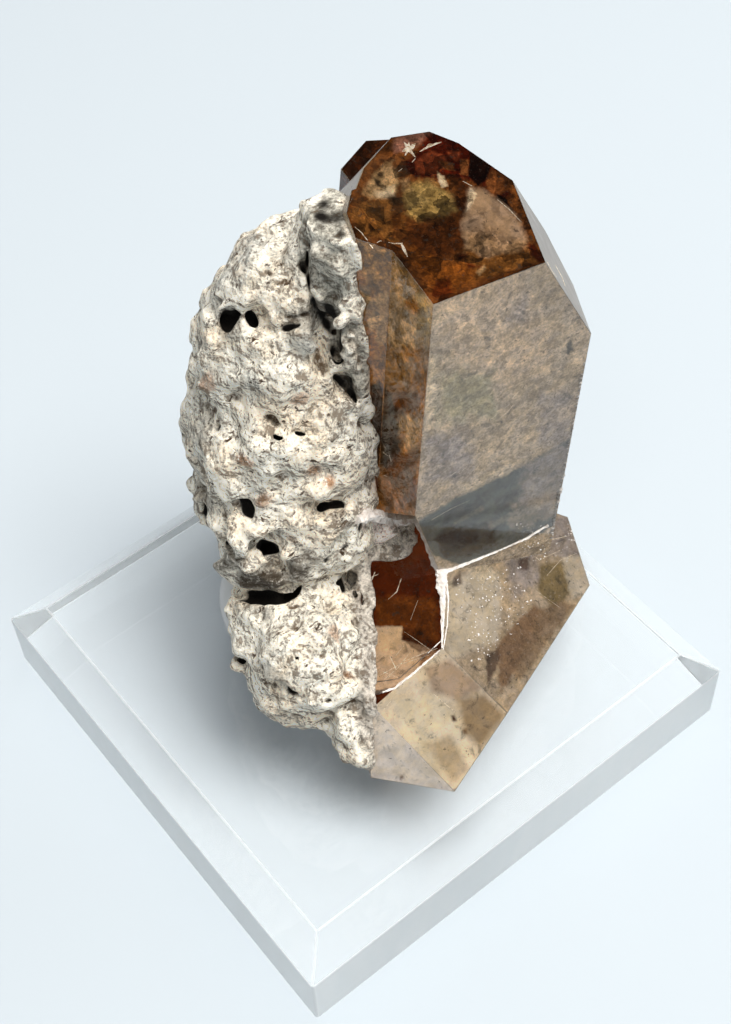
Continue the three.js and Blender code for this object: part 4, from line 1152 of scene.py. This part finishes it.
def off_outline(u, v, outline):
    """How far points are outside an outline, and negative inside it."""
    best, within = np.full(u.shape, np.inf), np.zeros(u.shape, bool)
    for (x0, y0), (x1, y1) in zip(outline, outline[1:] + outline[:1]):
        dx, dy = x1 - x0, y1 - y0
        t = np.clip(((u - x0) * dx + (v - y0) * dy) / (dx * dx + dy * dy), 0, 1)
        best = np.minimum(best, np.hypot(u - x0 - t * dx, v - y0 - t * dy))
        if dy:
            within ^= ((y0 > v) != (y1 > v)) & (u < x0 + (v - y0) * dx / dy)
    return np.where(within, -best, best)


def drift(u, v, size, seed):
    """Smooth noise with a spread of about 1 over the front view."""
    return 3 * np.array([noise.noise(Vector((a / size, b / size, seed * 7.3))) for a, b in zip(u, v)])


def veil_and_reflection_tone(face, u, v):
    """The linear colour of a veil, painted reflections included, at points of the front view."""
    fine, wide = drift(u, v, 0.3, 1), drift(u, v, 0.9, 2)
    shade, calm = np.tile(linear(TONES[VEILS_AND_REFLECTIONS[face][0]]), (len(u), 1)), np.zeros((len(u), 1))
    drawn = "left front" if face == "shoulder" else face
    for tone, soft, ragged, strength, outline in VEIL_AND_REFLECTION_MARKS.get(drawn, []):
        away = off_outline(u, v, outline) + ragged * VEIL_RAGGED.get(face, 1.0) * (0.3 * fine + 0.4 * wide)
        soft *= VEIL_SOFT.get(face, VEIL_SOFTNESS)
        share = strength * ramp(away, soft, -soft)[:, None]
        shade = shade * (1 - share) + np.array(linear(TONES[tone])) * share
        calm = calm * (1 - share) + (0.7 if tone in CALM_TONES else 0.0) * share
    return shade, calm


def inside(tree, point, clearance):
    """Whether a point lies in the solid by at least `clearance`."""
    near, normal, _, _ = tree.find_nearest(point)
    return (near - point).dot(normal) > clearance


def face_outlines(flats, face):
    """The outlines of a crystal's face, in mm right and up as seen from the front."""
    out, through = face_direction(face), world(*FACES[face][2])
    for flat in flats:
        if flat.normal.dot(out) > 0.999 and abs((flat.calc_center_median() - through).dot(out)) < 0.08 * MM:
            corners = [np.array(TO_WORLD.transposed() @ vertex.co) / MM for vertex in flat.verts]
            yield [(float(corner @ FRONT_RIGHT), float(corner @ FRONT_UP)) for corner in corners]


def on_face(face, u, v):
    """The world points on a face at points of the front view."""
    out, through = np.array(TO_WORLD.transposed() @ face_direction(face)), np.array(FACES[face][2])
    flat = u[:, None] * FRONT_RIGHT + v[:, None] * FRONT_UP
    reach = ((through - flat) @ out) / (FRONT_OUT @ out)
    return (flat + reach[:, None] * FRONT_OUT) @ np.array(TO_WORLD.transposed()) * MM


def veils_and_reflections(crystal):
    """A fine sheet under each face that the front view shows, a little inside it, that carries veils and
    painted reflections.
    """
    tree = BVHTree.FromObject(crystal, bpy.context.evaluated_depsgraph_get())
    solid = welded_copy("topaz_crystals")
    bmesh.ops.dissolve_limit(solid, angle_limit=math.radians(0.6), verts=solid.verts, edges=solid.edges)
    points, triangles, tones, looks = [], [], [], []
    for face, outline in [(face, outline) for face in VEILS_AND_REFLECTIONS for outline in face_outlines(solid.faces, face)]:
        _, depth, spacing, look, light = VEILS_AND_REFLECTIONS[face]
        low, high = np.min(outline, axis=0), np.max(outline, axis=0)
        u, v = (grid.ravel() for grid in np.meshgrid(*(np.arange(low[k], high[k], spacing) for k in (0, 1))))
        within = off_outline(u, v, outline) < -0.6 * spacing
        corners = [Vector(pair) for pair in outline + list(zip(u[within], v[within]))]
        flat, _, cut, _, _, _ = delaunay_2d_cdt(corners, [], [list(range(len(outline)))], 1, 1e-5)
        u, v = np.array(flat).T
        edge = -off_outline(u, v, outline)
        sunk = np.minimum(depth * (1 + 0.15 * drift(u, v, 1.6, 3)), 0.05 + 0.8 * edge) * MM
        base, inward = on_face(face, u, v), np.array(looking_in(face))
        middle = base.mean(axis=0)
        places = []
        for spot, sink in zip(base, sunk):
            for pull, share in ((0, 1), (0, 0.6), (0.06, 0.8), (0.12, 0.8), (0.2, 0.8)):
                way = (middle - spot) / np.linalg.norm(middle - spot)
                place = Vector(spot + way * pull * MM + inward * sink * share)
                if inside(tree, place, 0.015 * MM):
                    break
            places.append(tuple(place))
        triangles.extend([tuple(index + len(points) for index in corner) for corner in cut])
        points.extend(places)
        shade, calm = veil_and_reflection_tone(face, u, v)
        tones.extend(shade * light)
        looks.extend(look * (1 - calm * (0, 0, 1, 1, 0)))
    solid.free()
    mesh = bpy.data.meshes.new("veils_and_reflections")
    mesh.from_pydata(points, [], triangles)
    shade = np.hstack([np.array(tones), np.ones((len(tones), 1))])
    drawn = mesh.attributes.new("tone", "FLOAT_COLOR", "POINT").data
    drawn.foreach_set("color", shade.astype(np.float32).ravel())
    for name, values in zip(VEIL_LOOKS, np.array(looks).T):
        store(mesh, name, values)
    mesh.shade_smooth()
    piece = new_object("veils_and_reflections", mesh)
    adopt(piece, "topaz", veil_and_reflection_material())
    return piece


def topaz_crystals():
    made = welded_copy("topaz_crystals")
    bmesh.ops.dissolve_limit(made, angle_limit=math.radians(0.6), verts=made.verts, edges=made.edges)
    piece = to_object("topaz_cluster", made)
    round_edges(piece, TOPAZ_EDGE, 2, 6)
    store(piece.data, "frost", [frost_of(face.normal) for face in piece.data.polygons], "FACE")
    mark_rims(piece.data, 0.12 * MM)
    adopt(piece, "topaz", topaz_material(), "topaz_crystals")
    return piece


# ------------------------------------------------------------------ crusts, glints and grains

def crust_material(name, low, high):
    material, tree = new_material(name)
    mottle = noise_field(tree, 0.5, 5, 0.7)
    shade = mix(tree, between(tree, mottle, 0.35, 0.65), low, high)
    finish_shader(tree, Base_Color=shade, Roughness=0.5, Specular_IOR_Level=0.5,
                  Normal=bump(tree, mottle, 0.12 * MM, 0.8))
    return material


def glint_material():
    """A crack or needle inside the crystal, pale and glowing by its own emission: a painted glint."""
    material, tree = new_material("glint")
    grain = noise_field(tree, 0.25, 4, 0.7)
    shade = mix(tree, between(tree, grain, 0.35, 0.60), (0.34, 0.24, 0.13), (0.92, 0.84, 0.70))
    finish_shader(tree, Base_Color=shade, Roughness=0.3, Emission_Color=shade, Emission_Strength=0.7)
    return material


STRAND_SIDES = 7


def add_strand(made, line, sunk=Vector(), step=0.22):
    """A rough low ridge along a line of points with half widths."""
    rings, dense = [], []
    for (start, wide), (end, thin) in zip(line, line[1:]):
        a, b = world(*start) + sunk, world(*end) + sunk
        steps = max(2, int((b - a).length / (step * MM)))
        dense += [(a.lerp(b, i / steps), wide + (thin - wide) * i / steps) for i in range(steps)]
    dense.append((world(*line[-1][0]) + sunk, line[-1][1]))
    for i, (centre, radius) in enumerate(dense):
        ahead = dense[min(i + 1, len(dense) - 1)][0] - dense[max(i - 1, 0)][0]
        side = ahead.cross(Vector((0.1, 0.2, 1))).normalized()
        lift = side.cross(ahead).normalized()
        ring = []
        for k in range(STRAND_SIDES):
            turn = math.tau * k / STRAND_SIDES
            rough = 1 + 0.75 * noise.noise((centre / MM + Vector((k * 1.7, 0, 0))) / 0.35)
            out = side * math.cos(turn) * radius + lift * math.sin(turn) * radius * 0.55
            ring.append(made.verts.new(centre + out * rough * MM))
        rings.append(ring)
    for first, second in zip(rings, rings[1:]):
        for k in range(STRAND_SIDES):
            after = (k + 1) % STRAND_SIDES
            made.faces.new((first[k], second[k], second[after], first[after]))
    made.faces.new(rings[0])
    made.faces.new(list(reversed(rings[-1])))


def add_grain(made, centre, size, chance):
    """A small lump with eight uneven faces."""
    turn = Matrix.Rotation(chance.uniform(0, math.tau), 3, Vector(chance.normal(size=3)).normalized())
    tips = [turn @ Vector(axis) * size * chance.uniform(0.6, 1.4) * MM + centre
            for axis in ((1, 0, 0), (0, 1, 0), (-1, 0, 0), (0, -1, 0), (0, 0, 1), (0, 0, -1))]
    ring = [made.verts.new(tip) for tip in tips]
    for i in range(4):
        made.faces.new((ring[i], ring[(i + 1) % 4], ring[4]))
        made.faces.new((ring[(i + 1) % 4], ring[i], ring[5]))


def seam_crust(crystal):
    tree = BVHTree.FromObject(crystal, bpy.context.evaluated_depsgraph_get())
    chance = np.random.default_rng(5)
    made = bmesh.new()
    for line in CRUSTS:
        add_strand(made, line)
    look = TO_WORLD @ Vector(-FRONT_OUT)
    for outline, count in SUGAR:
        low, high = np.min(outline, axis=0), np.max(outline, axis=0)
        u, v = chance.uniform(low[0], high[0], 3 * count), chance.uniform(low[1], high[1], 3 * count)
        near = off_outline(u, v, outline) + 0.6 * drift(u, v, 1.3, 8) < 0
        for a, b in zip(u[near][:count], v[near][:count]):
            spot, _, _, _ = tree.ray_cast(world(*(FRONT_RIGHT * a + FRONT_UP * b + FRONT_OUT * 150)), look)
            if spot:
                add_grain(made, spot, 0.035 + 0.10 * chance.random() ** 3, chance)
    piece = to_object("seam_crust", made)
    adopt(piece, "topaz", crust_material("pale_crust", (0.74, 0.66, 0.60), (0.97, 0.94, 0.90)))
    return piece


def edge_lumps():
    """Uneven growth along the broad front's right edge."""
    chance = np.random.default_rng(9)
    made = bmesh.new()
    for start, end, count, size in EDGE_LUMPS:
        for share in (np.arange(count) + chance.uniform(0, 1, count)) / count:
            u, v = (np.array(start) * (1 - share) + np.array(end) * share)[:, None]
            spot = Vector(on_face("broad front", u - 0.25 * size, v)[0])
            spot += looking_in("broad front") * 0.4 * size * MM
            add_grain(made, spot, size * chance.uniform(0.5, 1.2), chance)
    piece = to_object("edge_lumps", made)
    smooth_over(piece)
    adopt(piece, "topaz", crust_material("edge_crust", (0.34, 0.31, 0.29), (0.62, 0.57, 0.52)))
    return piece


def inner_glints():
    made = bmesh.new()
    for face, lines in GLINTS.items():
        for line in lines:
            thin = [(point, 0.6 * wide) for point, wide in line]
            add_strand(made, thin, looking_in(face) * GLINT_DEPTH, 0.12)
    piece = to_object("inner_glints", made)
    adopt(piece, "topaz", glint_material())
    return piece


# ------------------------------------------------------------------ stage

def floor_material():
    material, tree = new_material("table")
    finish_shader(tree, Base_Color=colour(FLOOR_COLOUR), Roughness=0.55, Specular_IOR_Level=0.3)
    return material


def build_stage():
    made = bmesh.new()
    bmesh.ops.create_grid(made, x_segments=1, y_segments=1, size=FLOOR_HALF)
    floor = to_object("table_top", made)
    floor.location.z = -FLOOR_GAP
    floor.data.materials.append(floor_material())


def area_light(name, azimuth, elevation, distance, size, power, tint):
    """A soft square light, at an azimuth and elevation round the specimen as the camera's are."""
    out = towards(azimuth, elevation)
    data = bpy.data.lights.new(name, "AREA")
    data.shape = "SQUARE"
    data.size = size
    data.energy = power
    data.color = tint
    lamp = bpy.data.objects.new(name, data)
    lamp.location = Vector((0, 0, 30 * MM)) + out * distance
    lamp.rotation_euler = (-out).to_track_quat("-Z", "Y").to_euler()
    lamp.visible_transmission = False
    lamp.visible_glossy = name == "window"
    bpy.context.scene.collection.objects.link(lamp)


def towards(azimuth, elevation):
    """The direction out to an azimuth and elevation, counted as the camera's are."""
    a, e = math.radians(azimuth), math.radians(elevation)
    return Vector((math.sin(a) * math.cos(e), -math.cos(a) * math.cos(e), math.sin(e)))


def build_lights():
    """Walls that brighten upwards round a dark ceiling patch, and soft lamps, mostly high on the right."""
    sky = bpy.data.worlds.new("studio")
    sky.use_nodes = True
    tree = sky.node_tree
    direction = node(tree, "ShaderNodeTexCoord").outputs["Generated"]
    overhead = node(tree, "ShaderNodeVectorMath", {0: direction, 1: towards(*CEILING_PATCH)},
                    operation="DOT_PRODUCT").outputs["Value"]
    height = node(tree, "ShaderNodeSeparateXYZ", {"Vector": direction}).outputs["Z"]
    level = times(tree, between(tree, overhead, 0.83, 0.93, 1.0, 0.10),
                  between(tree, height, 0.0, 0.75, 0.21, 0.33))
    background = tree.nodes["Background"]
    background.inputs["Color"].default_value = colour(SKY_COLOUR)
    tree.links.new(level, background.inputs["Strength"])
    bpy.context.scene.world = sky
    for name, lamp in LAMPS.items():
        area_light(name, *lamp)


def build_camera():
    back = towards(CAMERA_AZIMUTH, CAMERA_ELEVATION)
    level = Vector((0, 0, 1)).cross(back).normalized()
    upward = back.cross(level)
    c, s = math.cos(CAMERA_ROLL), math.sin(CAMERA_ROLL)
    right = level * c + upward * s
    up = upward * c - level * s
    data = bpy.data.cameras.new("camera")
    data.lens = CAMERA_LENS
    data.sensor_width = 36
    data.clip_start = 0.005
    camera = bpy.data.objects.new("camera", data)
    rotation = Matrix((right, up, back)).transposed()
    camera.matrix_world = Matrix.Translation(CAMERA_TARGET + back * CAMERA_DISTANCE) @ rotation.to_4x4()
    bpy.context.scene.collection.objects.link(camera)
    bpy.context.scene.camera = camera


build_camera()
build_stage()
build_lights()
bpy.context.scene.view_settings.view_transform = "Standard"
acrylic_base()
mounting_putty()
cluster = topaz_crystals()
veils_and_reflections(cluster)
inner_glints()
seam_crust(cluster)
edge_lumps()
rhyolite_matrix()

bpy.context.view_layer.update()
